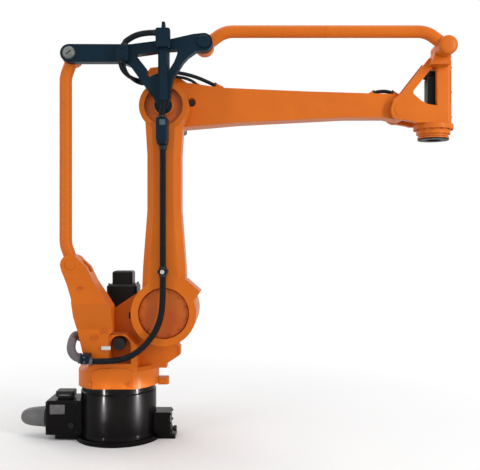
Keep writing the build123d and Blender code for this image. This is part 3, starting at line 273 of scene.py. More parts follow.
def dust_group() -> bpy.types.NodeTree:
    """Make the group for the film of dust that lies on faces that look up.

    Returns:
        A group with the dust's mask.
    """
    group = new_group("settled_dust", {"Amount": 0.3, "Scale": 14.0}, {"Mask": "NodeSocketFloat"})
    start, end = group_ends(group)
    geometry = new_node(group, "ShaderNodeNewGeometry")
    split = new_node(group, "ShaderNodeSeparateXYZ")
    link(group, geometry.outputs["Normal"], split.inputs[0])
    upward = ramp(group, split.outputs["Z"], DUST_STAYS, 1.0)
    place = new_node(group, "ShaderNodeTexCoord")
    noise = new_node(group, "ShaderNodeTexNoise", Detail=6.0, Roughness=0.7)
    link(group, place.outputs["Object"], noise.inputs["Vector"])
    link(group, start.outputs["Scale"], noise.inputs["Scale"])
    cloudy = combine(group, "MULTIPLY", upward, ramp(group, noise.outputs["Fac"], low=0.3, high=0.75))
    link(group, combine(group, "MULTIPLY", cloudy, start.outputs["Amount"]), end.inputs["Mask"])
    return group


def weave_group() -> bpy.types.NodeTree:
    """Make the group for a mesh of crossing strands.

    Returns:
        A group with the strands' height and the dark gaps between them.
    """
    group = new_group("cross_weave", {"Scale": 60.0}, {"Height": "NodeSocketFloat", "Gap": "NodeSocketFloat"})
    start, end = group_ends(group)
    place = new_node(group, "ShaderNodeTexCoord")
    strands = []
    for turn in (math.pi / 4, -math.pi / 4):
        spin = new_node(group, "ShaderNodeMapping")
        spin.inputs["Rotation"].default_value = (0.0, turn, 0.0)
        wave = new_node(group, "ShaderNodeTexWave", Distortion=0.4)
        link(group, place.outputs["Object"], spin.inputs["Vector"])
        link(group, spin.outputs["Vector"], wave.inputs["Vector"])
        link(group, start.outputs["Scale"], wave.inputs["Scale"])
        strands.append(wave.outputs["Fac"])
    crossing = combine(group, "MAXIMUM", *strands)
    link(group, crossing, end.inputs["Height"])
    link(group, ramp(group, crossing, low=0.5, high=0.15), end.inputs["Gap"])
    return group


GROUP_MAKERS: dict[str, Callable[[], bpy.types.NodeTree]] = {
    "cross_weave": weave_group,
    "edge_wear_and_highlight": edge_wear_and_highlight_group,
    "surface_grain": surface_grain_group,
    "settled_dust": dust_group,
}


def place_group(tree: bpy.types.NodeTree, name: str, **values: float) -> bpy.types.Node:
    """Put a shared group into a material, making the group when it is first needed.

    Args:
        tree: The material's tree.
        name: The group's name.
        values: The values of the group's inputs in this material.

    Returns:
        The group's node.
    """
    group = bpy.data.node_groups.get(name) or GROUP_MAKERS[name]()
    node = new_node(tree, "ShaderNodeGroup")
    node.node_tree = group
    for key, value in values.items():
        node.inputs[key].default_value = value
    return node


# Finishes.

METAL_DUST = (0.32, 0.29, 0.25)
PLASTIC_DUST = (0.2, 0.19, 0.17)
WEAVE_GAP = (0.02, 0.02, 0.02)


def new_material(name: str) -> tuple[bpy.types.Material, bpy.types.NodeTree, bpy.types.Node]:
    """Start a material.

    Args:
        name: The material's name.

    Returns:
        The material, its tree and its Principled shader.
    """
    material = bpy.data.materials.new(name)
    material.use_nodes = True
    tree = material.node_tree
    return material, tree, tree.nodes["Principled BSDF"]


def link_roughness(
    tree: bpy.types.NodeTree, shader: bpy.types.Node, cloud: bpy.types.NodeSocket, low: float, high: float
) -> None:
    """Let the roughness follow the clouds of a surface.

    Args:
        tree: The material's tree.
        shader: The material's shader.
        cloud: The clouds' socket, from 0 to 1.
        low: The roughness where the clouds are 0.
        high: The roughness where the clouds are 1.
    """
    rough = new_node(tree, "ShaderNodeMapRange")
    rough.inputs["To Min"].default_value = low
    rough.inputs["To Max"].default_value = high
    link(tree, cloud, rough.inputs["Value"])
    link(tree, rough.outputs["Result"], shader.inputs["Roughness"])


def link_skin(
    tree: bpy.types.NodeTree,
    shader: bpy.types.Node,
    height: bpy.types.NodeSocket,
    strength: float,
    distance: float,
    rounded: bpy.types.NodeSocket | None = None,
) -> None:
    """Give a surface its fine skin.

    Args:
        tree: The material's tree.
        shader: The material's shader.
        height: The skin's height.
        strength: How strongly the skin shows.
        distance: How high the skin stands, in metres.
        rounded: The normal that rounds the edges, or None where they stay sharp.
    """
    bump = new_node(tree, "ShaderNodeBump", Strength=strength, Distance=distance)
    link(tree, height, bump.inputs["Height"])
    if rounded is not None:
        link(tree, rounded, bump.inputs["Normal"])
    link(tree, bump.outputs["Normal"], shader.inputs["Normal"])


@dataclass(frozen=True)
class CoatedMetal:
    """A painted or blackened casting, with rounded edges that are lighter, partly rubbed and partly a painted
    highlight, a cast skin and a little dust.

    Colour and shade lie in clouds, and the roughness goes from smoother to rougher with them. The fine grain,
    the clouds and the patches of rubbed edges and painted highlight and of dust are noise scales. Grain
    height and edge are in metres.
    """

    colour: Colour
    shade: Colour
    worn_and_highlight: Colour
    roughness: float = 0.42
    smoother: float = 0.05
    rougher: float = 0.07
    coat: float = 0.25
    coat_roughness: float = 0.18
    specular: float = 0.35
    grain: float = 0.12
    grain_height: float = 0.0006
    fine: float = 420.0
    clouds: float = 4.0
    edge: float = 0.003
    wear: float = 0.5
    wear_and_highlight_patches: float = 55.0
    dust: float = 0.15
    dust_patches: float = 12.0

    def build(self, name: str) -> bpy.types.Material:
        """Make the material.

        Args:
            name: The material's name.

        Returns:
            The material.
        """
        material, tree, shader = new_material(name)
        shader.inputs["Coat Weight"].default_value = self.coat
        shader.inputs["Coat Roughness"].default_value = self.coat_roughness
        shader.inputs["Specular IOR Level"].default_value = self.specular
        skin = place_group(tree, "surface_grain", Fine=self.fine, Broad=self.clouds)
        edge = place_group(tree, "edge_wear_and_highlight", Radius=self.edge, Breakup=self.wear_and_highlight_patches)
        dust = place_group(tree, "settled_dust", Amount=self.dust, Scale=self.dust_patches)
        colour = blend_colours(tree, skin.outputs["Cloud"], self.shade, self.colour)
        # The edges take the lighter edge colour: partly rubbed paint, partly a painted highlight.
        wear = combine(tree, "MULTIPLY", edge.outputs["Mask"], self.wear)
        colour = blend_colours(tree, wear, colour, self.worn_and_highlight)
        colour = blend_colours(tree, dust.outputs["Mask"], colour, METAL_DUST)
        link(tree, colour, shader.inputs["Base Color"])
        low, high = self.roughness - self.smoother, self.roughness + self.rougher
        link_roughness(tree, shader, skin.outputs["Cloud"], low, high)
        link_skin(tree, shader, skin.outputs["Height"], self.grain, self.grain_height, edge.outputs["Normal"])
        return material


@dataclass(frozen=True)
class TurnedSteel:
    """Bare or blackened turned steel, with smudges and rounded edges.

    Its shade is a share of its colour. The other fields are as in CoatedMetal.
    """

    colour: Colour
    shade: float = 0.6
    roughness: float = 0.3
    rougher: float = 0.15
    metallic: float = 0.9
    grain: float = 0.15
    grain_height: float = 0.0002
    fine: float = 900.0
    clouds: float = 30.0
    edge: float = 0.0012
    wear_and_highlight_patches: float = 90.0

    def build(self, name: str) -> bpy.types.Material:
        """Make the material.

        Args:
            name: The material's name.

        Returns:
            The material.
        """
        material, tree, shader = new_material(name)
        shader.inputs["Metallic"].default_value = self.metallic
        skin = place_group(tree, "surface_grain", Fine=self.fine, Broad=self.clouds)
        edge = place_group(tree, "edge_wear_and_highlight", Radius=self.edge, Breakup=self.wear_and_highlight_patches)
        dark = tuple(self.shade * channel for channel in self.colour)
        colour = blend_colours(tree, skin.outputs["Cloud"], dark, self.colour)
        link(tree, colour, shader.inputs["Base Color"])
        low, high = self.roughness, self.roughness + self.rougher
        link_roughness(tree, shader, skin.outputs["Cloud"], low, high)
        link_skin(tree, shader, skin.outputs["Height"], self.grain, self.grain_height, edge.outputs["Normal"])
        return material


@dataclass(frozen=True)
class Moulded:
    """Moulded plastic or rubber, with a fine grain, a little dust and, where its scale is set, a weave.

    The other fields are as in CoatedMetal.
    """

    colour: Colour
    shade: Colour
    roughness: float = 0.5
    smoother: float = 0.06
    rougher: float = 0.08
    specular: float = 0.3
    grain: float = 0.2
    grain_height: float = 0.0003
    fine: float = 700.0
    clouds: float = 18.0
    weave: float = 0.0
    dust: float = 0.16
    dust_patches: float = 30.0

    def build(self, name: str) -> bpy.types.Material:
        """Make the material.

        Args:
            name: The material's name.

        Returns:
            The material.
        """
        material, tree, shader = new_material(name)
        shader.inputs["Specular IOR Level"].default_value = self.specular
        skin = place_group(tree, "surface_grain", Fine=self.fine, Broad=self.clouds)
        dust = place_group(tree, "settled_dust", Amount=self.dust, Scale=self.dust_patches)
        colour = blend_colours(tree, skin.outputs["Cloud"], self.shade, self.colour)
        height = skin.outputs["Height"]
        if self.weave > 0:
            weave = place_group(tree, "cross_weave", Scale=self.weave)
            colour = blend_colours(tree, weave.outputs["Gap"], colour, WEAVE_GAP)
            height = weave.outputs["Height"]
        colour = blend_colours(tree, dust.outputs["Mask"], colour, PLASTIC_DUST)
        link(tree, colour, shader.inputs["Base Color"])
        low, high = self.roughness - self.smoother, self.roughness + self.rougher
        link_roughness(tree, shader, skin.outputs["Cloud"], low, high)
        link_skin(tree, shader, height, self.grain, self.grain_height)
        return material


FINISHES: dict[str, CoatedMetal | TurnedSteel | Moulded] = {
    "orange_paint": CoatedMetal(
        colour=(0.66, 0.150, 0.008),
        shade=(0.58, 0.124, 0.007),
        worn_and_highlight=(0.86, 0.30, 0.07),
        coat=0.05,
        specular=0.15,
    ),
    # A darker, redder orange: painted shade for the recessed covers, the screws in them and under the wrist
    # ring, and the front cover's seam line.
    "painted_shade_orange": CoatedMetal(
        colour=(0.50, 0.112, 0.014),
        shade=(0.43, 0.066, 0.008),
        worn_and_highlight=(0.7, 0.2, 0.05),
        coat=0.05,
        specular=0.2,
    ),
    # A lighter copy of the lever paint: a painted highlight.
    "lever_paint_highlight": CoatedMetal(
        colour=(0.05, 0.085, 0.10), shade=(0.04, 0.07, 0.085), worn_and_highlight=(0.12, 0.16, 0.18), coat=0.1
    ),
    "dark_steel": TurnedSteel(colour=(0.12, 0.12, 0.115), roughness=0.4),
    "black_casting": CoatedMetal(
        colour=(0.0030, 0.0022, 0.0022),
        shade=(0.0020, 0.0015, 0.0015),
        worn_and_highlight=(0.02, 0.018, 0.017),
        roughness=0.3,
        coat=0.1,
        coat_roughness=0.07,
        dust=0.008,
        grain=0.06,
        specular=0.05,
    ),
    "lever_paint": CoatedMetal(
        colour=(0.0030, 0.0175, 0.032),
        shade=(0.0020, 0.0130, 0.025),
        worn_and_highlight=(0.03, 0.06, 0.085),
        roughness=0.4,
        coat=0.0,
        dust=0.02,
        specular=0.1,
    ),
    "motor_black": CoatedMetal(
        colour=(0.007, 0.0105, 0.0095),
        shade=(0.0045, 0.007, 0.0062),
        worn_and_highlight=(0.022, 0.027, 0.026),
        coat=0.05,
        dust=0.012,
        specular=0.14,
    ),
    "black_plastic": Moulded(colour=(0.008, 0.009, 0.010), shade=(0.005, 0.0055, 0.006)),
    "grey_plastic": Moulded(colour=(0.15, 0.15, 0.15), shade=(0.10, 0.10, 0.10)),
    "hood_mesh": Moulded(colour=(0.17, 0.17, 0.17), shade=(0.12, 0.12, 0.12), grain=0.6, weave=45.0),
    "white_plastic": Moulded(colour=(0.66, 0.65, 0.63), shade=(0.56, 0.55, 0.53)),
    "grey_hose": Moulded(colour=(0.155, 0.135, 0.15), shade=(0.105, 0.09, 0.10), roughness=0.38),
    "hose_rubber": Moulded(colour=(0.0055, 0.0080, 0.0115), shade=(0.0035, 0.0055, 0.0080), specular=0.12),
    "pin_steel": TurnedSteel(colour=(0.20, 0.215, 0.20), roughness=0.42),
    "flange_steel": TurnedSteel(colour=(0.022, 0.021, 0.02), roughness=0.45),
    "bare_plate": TurnedSteel(colour=(0.16, 0.155, 0.155), roughness=0.5),
}


# The finish of each CAD node that doesn't wear its slot's own.
# The shoulder cover takes the darker orange: painted shade in its recess.
NODE_FINISHES = {"shoulder_cover": "painted_shade_orange", "cable_entry_hood": "hood_mesh"}


def finish_of(name: str) -> bpy.types.Material:
    """Give a finish's material, making it when it is first needed.

    Args:
        name: The finish's name.

    Returns:
        The material.
    """
    label = f"finish_{name}"
    return bpy.data.materials.get(label) or FINISHES[name].build(label)


def paint_nodes(nodes: dict[str, bpy.types.Object]) -> None:
    """Put each CAD node's finish into its material slots.
    """
    for name, node in nodes.items():
        for slot in node.material_slots:
            wanted = (slot.material.name if slot.material else "orange_paint").split(".")[0]
            wanted = NODE_FINISHES.get(name, wanted)
            if wanted not in FINISHES:
                log.warning("%s has no finish named %s", name, wanted)
                wanted = "orange_paint"
            slot.material = finish_of(wanted)


# Mesh helpers.

# The share of its height over which a face counts as the top.
NEAR_TOP = 0.99


def deselect_all() -> None:
    """Leave nothing selected."""
    bpy.ops.object.select_all(action="DESELECT")


def make_active(obj: bpy.types.Object) -> None:
    """Select one object alone and make it the active one.

    Args:
        obj: The object.
    """
    deselect_all()
    obj.select_set(True)
    bpy.context.view_layer.objects.active = obj


def select_top(obj: bpy.types.Object, height: float) -> None:
    """Select the top faces of a mesh in edit mode.

    Args:
        obj: The object in edit mode.
        height: How high its top lies over its origin.
    """
    bpy.ops.mesh.select_mode(type="FACE")
    bpy.ops.mesh.select_all(action="DESELECT")
    shape = bmesh.from_edit_mesh(obj.data)
    for face in shape.faces:
        if face.calc_center_median().z > height * NEAR_TOP:
            face.select_set(True)
    bmesh.update_edit_mesh(obj.data)


def apply_place(obj: bpy.types.Object) -> None:
    """Move an object's place into its mesh."""
    make_active(obj)
    bpy.ops.object.transform_apply(location=True, rotation=True, scale=True)


def turn_to(obj: bpy.types.Object, facing: Facing | Vector, spin: float = 0.0) -> None:
    """Turn a piece that was made looking up so that it looks another way.

    Args:
        obj: The piece.
        facing: The way that it is to look.
        spin: A turn about its own axis before that, in degrees.
    """
    aim = facing.vector if isinstance(facing, Facing) else facing
    obj.rotation_mode = "QUATERNION"
    obj.rotation_quaternion = aim.to_track_quat("Z", "Y") @ Quaternion((0, 0, 1), math.radians(spin))


def join(parts: Sequence[bpy.types.Object], name: str) -> bpy.types.Object:
    """Join several objects into one mesh.

    Args:
        parts: The objects.
        name: The joined object's name.

    Returns:
        The joined object.
    """
    deselect_all()
    for part in parts:
        part.select_set(True)
    bpy.context.view_layer.objects.active = parts[0]
    if len(parts) > 1:
        bpy.ops.object.join()
    parts[0].name = name
    return parts[0]


def settle(obj: bpy.types.Object, body: str | None, finish: str, smooth: float = 35.0) -> None:
    """Finish a new piece: place, shading, material, body and slot.

    Args:
        obj: The new piece.
        body: The body that it rides on, or None where it rides on none.
        finish: The name of its finish.
        smooth: The angle up to which faces shade smoothly, in degrees.
    """
    apply_place(obj)
    bpy.ops.object.shade_smooth_by_angle(angle=math.radians(smooth))
    obj.data.materials.clear()
    obj.data.materials.append(finish_of(finish))
    if body is not None:
        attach(obj, body)
    log.info("%s, %d faces", obj.name, len(obj.data.polygons))


@dataclass(frozen=True)
class Screw:
    """A socket screw's head, standing on its seat.

    Its edge, dome and socket are shares of its diameter or height.
    """

    diameter: float
    height: float
    sides: int = 20
    edge: float = 0.08
    dome: float = 0.12
    rim: float = 0.16
    socket: float = 0.5

    def model(self, name: str) -> bpy.types.Object:
        """Model the head at the origin, looking up.

        Args:
            name: The object's name.

        Returns:
            The head, with its chamfer and its socket.
        """
        deselect_all()
        bpy.ops.mesh.primitive_cylinder_add(
            vertices=self.sides, radius=self.diameter / 2, depth=self.height, location=(0, 0, self.height / 2)
        )
        head = bpy.context.active_object
        head.name = name
        apply_place(head)
        bpy.ops.object.mode_set(mode="EDIT")
        select_top(head, self.height)
        bpy.ops.mesh.inset(thickness=self.diameter * self.edge)
        bpy.ops.transform.translate(value=(0, 0, self.height * self.dome))
        bpy.ops.mesh.inset(thickness=self.diameter * self.rim)
        bpy.ops.mesh.extrude_region_move(
            TRANSFORM_OT_translate={"value": (0, 0, -self.height * self.socket)}
        )
        bpy.ops.object.mode_set(mode="OBJECT")
        return head


def screws(
    name: str, kind: Screw, places: Iterable[Place], facing: Facing, body: str, finish: str
) -> bpy.types.Object:
    """Set copies of one screw at several places and join them.

    Args:
        name: The joined piece's name.
        kind: The screw.
        places: Where each head's seat lies.
        facing: The way the heads look.
        body: The body that they ride on.
        finish: The finish's name.

    Returns:
        The joined heads.
    """
    first = kind.model(name)
    turn_to(first, facing)
    parts = []
    for place in places:
        head = first.copy()
        head.data = first.data.copy()
        head.location = place
        bpy.context.scene.collection.objects.link(head)
        parts.append(head)
    bpy.data.objects.remove(first)
    piece = join(parts, name)
    settle(piece, body, finish)
    return piece


def ring_places(
    centre: Place, facing: Facing, radius: float, count: int, start: float
) -> list[Place]:
    """Give evenly spaced places on a circle.

    Args:
        centre: The circle's centre.
        facing: The circle's normal.
        radius: The circle's radius.
        count: How many places.
        start: The first place's angle, in degrees.

    Returns:
        The places.
    """
    turn = facing.vector.to_track_quat("Z", "Y")
    places = []
    for step in range(count):
        angle = math.radians(start) + 2 * math.pi * step / count
        offset = turn @ Vector((radius * math.cos(angle), radius * math.sin(angle), 0))
        places.append(tuple(Vector(centre) + offset))
    return places


# Piece makers.


def outline_piece(
    name: str,
    corners: Sequence[tuple[float, float]],
    depth: float,
    place: Place,
    facing: Facing | Vector,
    bevel: float = 0.0,
    spin: float = 0.0,
) -> bpy.types.Object:
    """Raise a flat outline to a solid with rounded edges.

    Args:
        name: The piece's name.
        corners: The outline, anticlockwise as seen from the side that it faces.
        depth: How far it stands up from its seat.
        place: Where the outline's origin sits.
        facing: The way its front looks.
        bevel: The rounding of its edges.
        spin: A turn about the way that it faces, in degrees.

    Returns:
        The piece, not yet settled.
    """
    mesh = bpy.data.meshes.new(name)
    mesh.from_pydata([(x, y, 0.0) for x, y in corners], [], [tuple(range(len(corners)))])
    piece = bpy.data.objects.new(name, mesh)
    bpy.context.scene.collection.objects.link(piece)
    make_active(piece)
    bpy.ops.object.mode_set(mode="EDIT")
    bpy.ops.mesh.select_all(action="SELECT")
    bpy.ops.mesh.extrude_region_move(TRANSFORM_OT_translate={"value": (0, 0, depth)})
    bpy.ops.mesh.select_all(action="SELECT")
    bpy.ops.mesh.normals_make_consistent(inside=False)
    if bevel > 0:
        select_top(piece, depth)
        bpy.ops.mesh.bevel(offset=bevel, segments=2, affect="EDGES")
    bpy.ops.object.mode_set(mode="OBJECT")
    piece.location = place
    turn_to(piece, facing, spin)
    return piece


def rectangle(width: float, height: float, corner: float, steps: int = 5) -> list[tuple[float, float]]:
    """Give a rectangle's corners round its middle.

    Args:
        width: The rectangle's width.
        height: The rectangle's height.
        corner: The radius of its corners, or 0 where they are sharp.
        steps: How many steps there are in a round corner.

    Returns:
        The places of the corners, anticlockwise.
    """
    if corner <= 0:
        return [
            (-width / 2, -height / 2),
            (width / 2, -height / 2),
            (width / 2, height / 2),
            (-width / 2, height / 2),
        ]
    places = []
    for number, (side, level) in enumerate(((1, 1), (-1, 1), (-1, -1), (1, -1))):
        for step in range(steps + 1):
            angle = math.pi / 2 * (number + step / steps)
            x = side * (width / 2 - corner) + corner * math.cos(angle)
            places.append((x, level * (height / 2 - corner) + corner * math.sin(angle)))
    return places


def turned_piece(
    name: str,
    profile: Sequence[tuple[float, float]],
    place: Place,
    facing: Facing | Vector,
    steps: int = 40,
) -> bpy.types.Object:
    """Turn a profile round its own axis.

    Args:
        name: The piece's name.
        profile: Radius and height of each point, from the foot to the top.
        place: Where the axis meets the seat.
        facing: The way the top looks.
        steps: How many steps there are in the turn.

    Returns:
        The piece, not yet settled.
    """
    mesh = bpy.data.meshes.new(name)
    places = [(radius, 0.0, height) for radius, height in profile]
    mesh.from_pydata(places, [(number, number + 1) for number in range(len(places) - 1)], [])
    piece = bpy.data.objects.new(name, mesh)
    bpy.context.scene.collection.objects.link(piece)
    make_active(piece)
    bpy.ops.object.mode_set(mode="EDIT")
    bpy.ops.mesh.select_all(action="SELECT")
    bpy.ops.mesh.spin(steps=steps, angle=2 * math.pi, center=(0, 0, 0), axis=(0, 0, 1), dupli=False)
    bpy.ops.mesh.select_all(action="SELECT")
    bpy.ops.mesh.remove_doubles(threshold=0.00001)
    bpy.ops.mesh.normals_make_consistent(inside=False)
    bpy.ops.object.mode_set(mode="OBJECT")
    piece.location = place
    turn_to(piece, facing)
    return piece


def centre_line(name: str, points: Sequence[Place]) -> bpy.types.Object:
    """Draw a smooth line that starts and ends along its own first and last stretch.

    Args:
        name: The line's name.
        points: The line's control points, in metres.

    Returns:
        The curve's object.
    """
    curve = bpy.data.curves.new(name, "CURVE")
    curve.dimensions = "3D"
    curve.twist_mode = "MINIMUM"
    spline = curve.splines.new("NURBS")
    spline.points.add(len(points) - 1)
    for point, place in zip(spline.points, points):
        point.co = (*place, 1.0)
    spline.order_u = min(4, len(points))
    spline.use_endpoint_u = True
    spline.resolution_u = 12
    line = bpy.data.objects.new(name, curve)
    bpy.context.scene.collection.objects.link(line)
    return line


def smooth_hose(name: str, points: Sequence[Place], diameter: float) -> bpy.types.Object:
    """Model a smooth hose along a line.

    Args:
        name: The hose's name.
        points: The line's control points, in metres.
        diameter: The hose's diameter.

    Returns:
        The hose's mesh, not yet settled.
    """
    line = centre_line(name, points)
    line.data.bevel_depth = diameter / 2
    line.data.bevel_resolution = 6
    line.data.use_fill_caps = True
    make_active(line)
    bpy.ops.object.convert(target="MESH")
    return bpy.context.active_object


# A rib's profile: where it stands high, and the share of the pitch that is passed.
RIB = ((False, 0.0), (False, 0.15), (True, 0.35), (True, 0.8), (False, 1.0))


def corrugated_hose(
    name: str, points: Sequence[Place], diameter: float, pitch: float = 0.0055, groove: float = 0.0013
) -> bpy.types.Object:
    """Model a corrugated conduit along a line.

    Args:
        name: The conduit's name.
        points: The line's control points, in metres.
        diameter: The diameter over the ribs.
        pitch: The distance from rib to rib.
        groove: The depth of the grooves.

    Returns:
        The conduit's mesh, not yet settled.
    """
    line = centre_line(f"{name}_line", points)
    top = diameter / 2
    profile = [(top if high else top - groove, share * pitch) for high, share in RIB]
    rib = turned_piece(name, profile, (0, 0, 0), Facing.FRONT, steps=24)
    apply_place(rib)
    array = rib.modifiers.new("ribs", "ARRAY")
    array.fit_type = "FIT_CURVE"
    array.curve = line
    array.use_merge_vertices = True
    array.merge_threshold = 0.0001
    bend = rib.modifiers.new("bend", "CURVE")
    bend.object = line
    make_active(rib)
    bpy.ops.object.modifier_apply(modifier="ribs")
    bpy.ops.object.modifier_apply(modifier="bend")
    bpy.data.objects.remove(line)
    return rib


def at(x: float, y: float, z: float) -> Place:
    """Give a place in metres from millimetres."""
    return (x * MILLIMETRE, y * MILLIMETRE, z * MILLIMETRE)


def in_metres(points: Iterable[Place]) -> list[Place]:
    """Turn millimetre places into metre ones."""
    return [at(*point) for point in points]


# The hoses, which take the place of the CAD's stand-ins. Their places and sizes are in millimetres.


@dataclass(frozen=True)
class Hose:
    """A hose on one body, or one that runs between two and rides on neither.

    The field bend_from is a place on the first body, and bend_to one on the second. A hose stands in for the
    CAD node whose name it has, unless it is one strand more.
    """

    node: str
    points: tuple[Place, ...]
    diameter: float
    bodies: tuple[str, ...]
    ribbed: bool = False
    finish: str = "hose_rubber"
    bend_from: Place = (0, 0, 0)
    bend_to: Place = (0, 0, 0)
    stands_in: bool = True

    def build(self) -> None:
        """Model the hose, in place of its node where it has one."""
        maker = corrugated_hose if self.ribbed else smooth_hose
        tube = maker(f"{self.node}_tube", in_metres(self.points), self.diameter * MILLIMETRE)
        single = len(self.bodies) == 1
        settle(tube, self.bodies[0] if single else None, self.finish, smooth=50.0)
        if not single:
            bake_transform(tube)
        if self.stands_in:
            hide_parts(self.node)


HOSES = (
    Hose(
        "conduit_loop",
        (
            (200, -185, 673),
            (200, -185, 578),
            (197, -186, 520),
            (180, -189, 464),
            (146, -191, 412),
            (102, -191, 370),
            (50, -189, 344),
            (0, -186, 337),
            (-81, -186, 337),
        ),
        24,
        ("column", "link_arm"),
        ribbed=True,
        bend_from=(20, -186, 338),
        bend_to=(200, -185, 640),
    ),
    Hose(
        "conduit_run",
        ((200, -185, 689), (200, -185, 840), (200, -185, 1010), (200, -185, 1166)),
        24,
        ("link_arm",),
        ribbed=True,
    ),
    Hose(
        "feed_conduit",
        (
            (-113, -182, 349),
            (-134, -182, 349),
            (-157, -173, 372),
            (-161, -143, 400),
            (-160, -109, 422),
            (-152, -74, 428),
            (-137, -60, 402),
            (-100.3, -60, 402),
        ),
        34,
        ("column",),
        ribbed=True,
        finish="grey_hose",
    ),
    Hose(
        "neck_conduit",
        ((200, -228, 1265), (200, -228, 1283), (208, -228, 1312), (208, -228, 1330)),
        24,
        ("link_arm", "linkage"),
        ribbed=True,
        bend_from=(200, -228, 1267),
        bend_to=(208, -228, 1328),
    ),
    Hose(
        "lever_hose",
        (
            (181, -251, 1579),
            (142, -251, 1579),
            (102, -244, 1572),
            (73, -234, 1556),
            (60, -230, 1549),
            (60, -230, 1535),
        ),
        22,
        ("linkage",),
    ),
    Hose(
        "elbow_hose",
        (
            (44, -230, 1479),
            (44, -230, 1455),
            (62, -216, 1429),
            (94, -182, 1417),
            (124, -136, 1423),
            (156, -106, 1449),
            (208, -94, 1470),
            (264, -88, 1466),
            (330, -50, 1456),
            (374.6, -24, 1439.3),
            (398, -24, 1428),
        ),
        15,
        ("linkage", "arm"),
        bend_from=(62, -214, 1430),
        bend_to=(336, -46, 1454),
    ),
    Hose(
        "elbow_hose_lower",
        (
            (58, -230, 1479),
            (58, -230, 1450),
            (76, -212, 1420),
            (104, -180, 1405),
            (134, -136, 1408),
            (166, -108, 1434),
            (212, -88, 1453),
            (262, -70, 1454),
            (304, -50, 1446),
            (326, -38, 1426),
        ),
        12,
        ("linkage", "arm"),
        bend_from=(76, -210, 1421),
        bend_to=(302, -52, 1446),
        stands_in=False,
    ),
    Hose(
        "arm_hose",
        ((1042, 0, 1402), (1061.9, 0, 1413.5), (1102.1, 0, 1413.5), (1122, 0, 1402)),
        15,
        ("arm",),
    ),
)


# The fittings that the CAD leaves out. Their places and sizes are in millimetres.

# How far a fitting's foot reaches into the face that it stands on.
SINK = 0.3


@dataclass(frozen=True)
class ScrewSet:
    """Like screws on one face."""

    name: str
    kind: Screw
    facing: Facing
    places: tuple[Place, ...]
    finish: str

    def build(self, body: str) -> None:
        """Set the screws on a body."""
        screws(self.name, self.kind, in_metres(self.places), self.facing, body, self.finish)


@dataclass(frozen=True)
class ScrewRing:
    """Like screws on a circle."""

    name: str
    kind: Screw
    facing: Facing
    centre: Place
    radius: float
    count: int
    start: float
    finish: str

    def build(self, body: str) -> None:
        """Set the screws on a body."""
        places = ring_places(at(*self.centre), self.facing, self.radius * MILLIMETRE, self.count, self.start)
        screws(self.name, self.kind, places, self.facing, body, self.finish)


@dataclass(frozen=True)
class Plate:
    """A flat plate, pad or strip, spun by degrees about the way that it faces."""

    name: str
    finish: str
    facing: Facing
    place: Place
    size: tuple[float, float]
    depth: float
    corner: float = 0.0
    bevel: float = 0.0
    spin: float = 0.0

    def build(self, body: str) -> None:
        """Raise the plate from its face.

        Args:
            body: The body that it rides on.
        """
        width, height = self.size
        corners = rectangle(width * MILLIMETRE, height * MILLIMETRE, self.corner * MILLIMETRE)
        seat = Vector(at(*self.place)) - self.facing.vector * SINK * MILLIMETRE
        depth = (self.depth + SINK) * MILLIMETRE
        bevel = self.bevel * MILLIMETRE
        plate = outline_piece(self.name, corners, depth, seat, self.facing, bevel, self.spin)
        settle(plate, body, self.finish)


@dataclass(frozen=True)
class Turned:
    """A cap, collar, ring or plug that was turned on a lathe."""

    name: str
    finish: str
    facing: Facing | Place
    place: Place
    profile: tuple[tuple[float, float], ...]

    def build(self, body: str) -> None:
        """Turn the piece on its seat.

        Args:
            body: The body that it rides on.
        """
        aim = self.facing.vector if isinstance(self.facing, Facing) else Vector(self.facing).normalized()
        profile = [(radius * MILLIMETRE, height * MILLIMETRE) for radius, height in self.profile]
        settle(turned_piece(self.name, profile, at(*self.place), aim), body, self.finish)


@dataclass(frozen=True)
class SubAssembly:
    """A body of the robot and the fittings that dress it."""

    body: str
    fittings: tuple[ScrewSet | ScrewRing | Plate | Turned, ...]

    def build(self) -> None:
        """Build the fittings in order."""
        for fitting in self.fittings:
            fitting.build(self.body)


def cap(radius: float, height: float, edge: float = 1.5) -> tuple[tuple[float, float], ...]:
    """Give the profile of a closed cap with a bevelled edge."""
    return ((0, -SINK), (radius, -SINK), (radius, height - edge), (radius - edge, height), (0, height))


def collar(inner: float, outer: float, length: float, edge: float = 1.2) -> tuple[tuple[float, float], ...]:
    """Give the profile of a ring, closed on itself.

    Args:
        inner: The radius of its bore.
        outer: Its outer radius.
        length: Its length.
        edge: The width of its bevels.

    Returns:
        The radius and height of each point.
    """
    return (
        (inner, 0),
        (outer - edge, 0),
        (outer, edge),
        (outer, length - edge),
        (outer - edge, length),
        (inner, length),
        (inner, 0),
    )


def grid(across: Sequence[float], deep: Sequence[float], high: Sequence[float]) -> tuple[Place, ...]:
    """Give each place that some widths, depths and heights make together."""
    return tuple((x, y, z) for x in across for y in deep for z in high)


# The profile of a weld round a rod's tube, closed on itself.
WELD = ((23.2, 0), (24.6, 1.2), (24.6, 4), (23.2, 5.2), (23.2, 0))

SMALL = Screw(0.009, 0.004)
MIDDLE = Screw(0.014, 0.006)
LARGE = Screw(0.019, 0.007)
FLAT = Screw(0.016, 0.004)

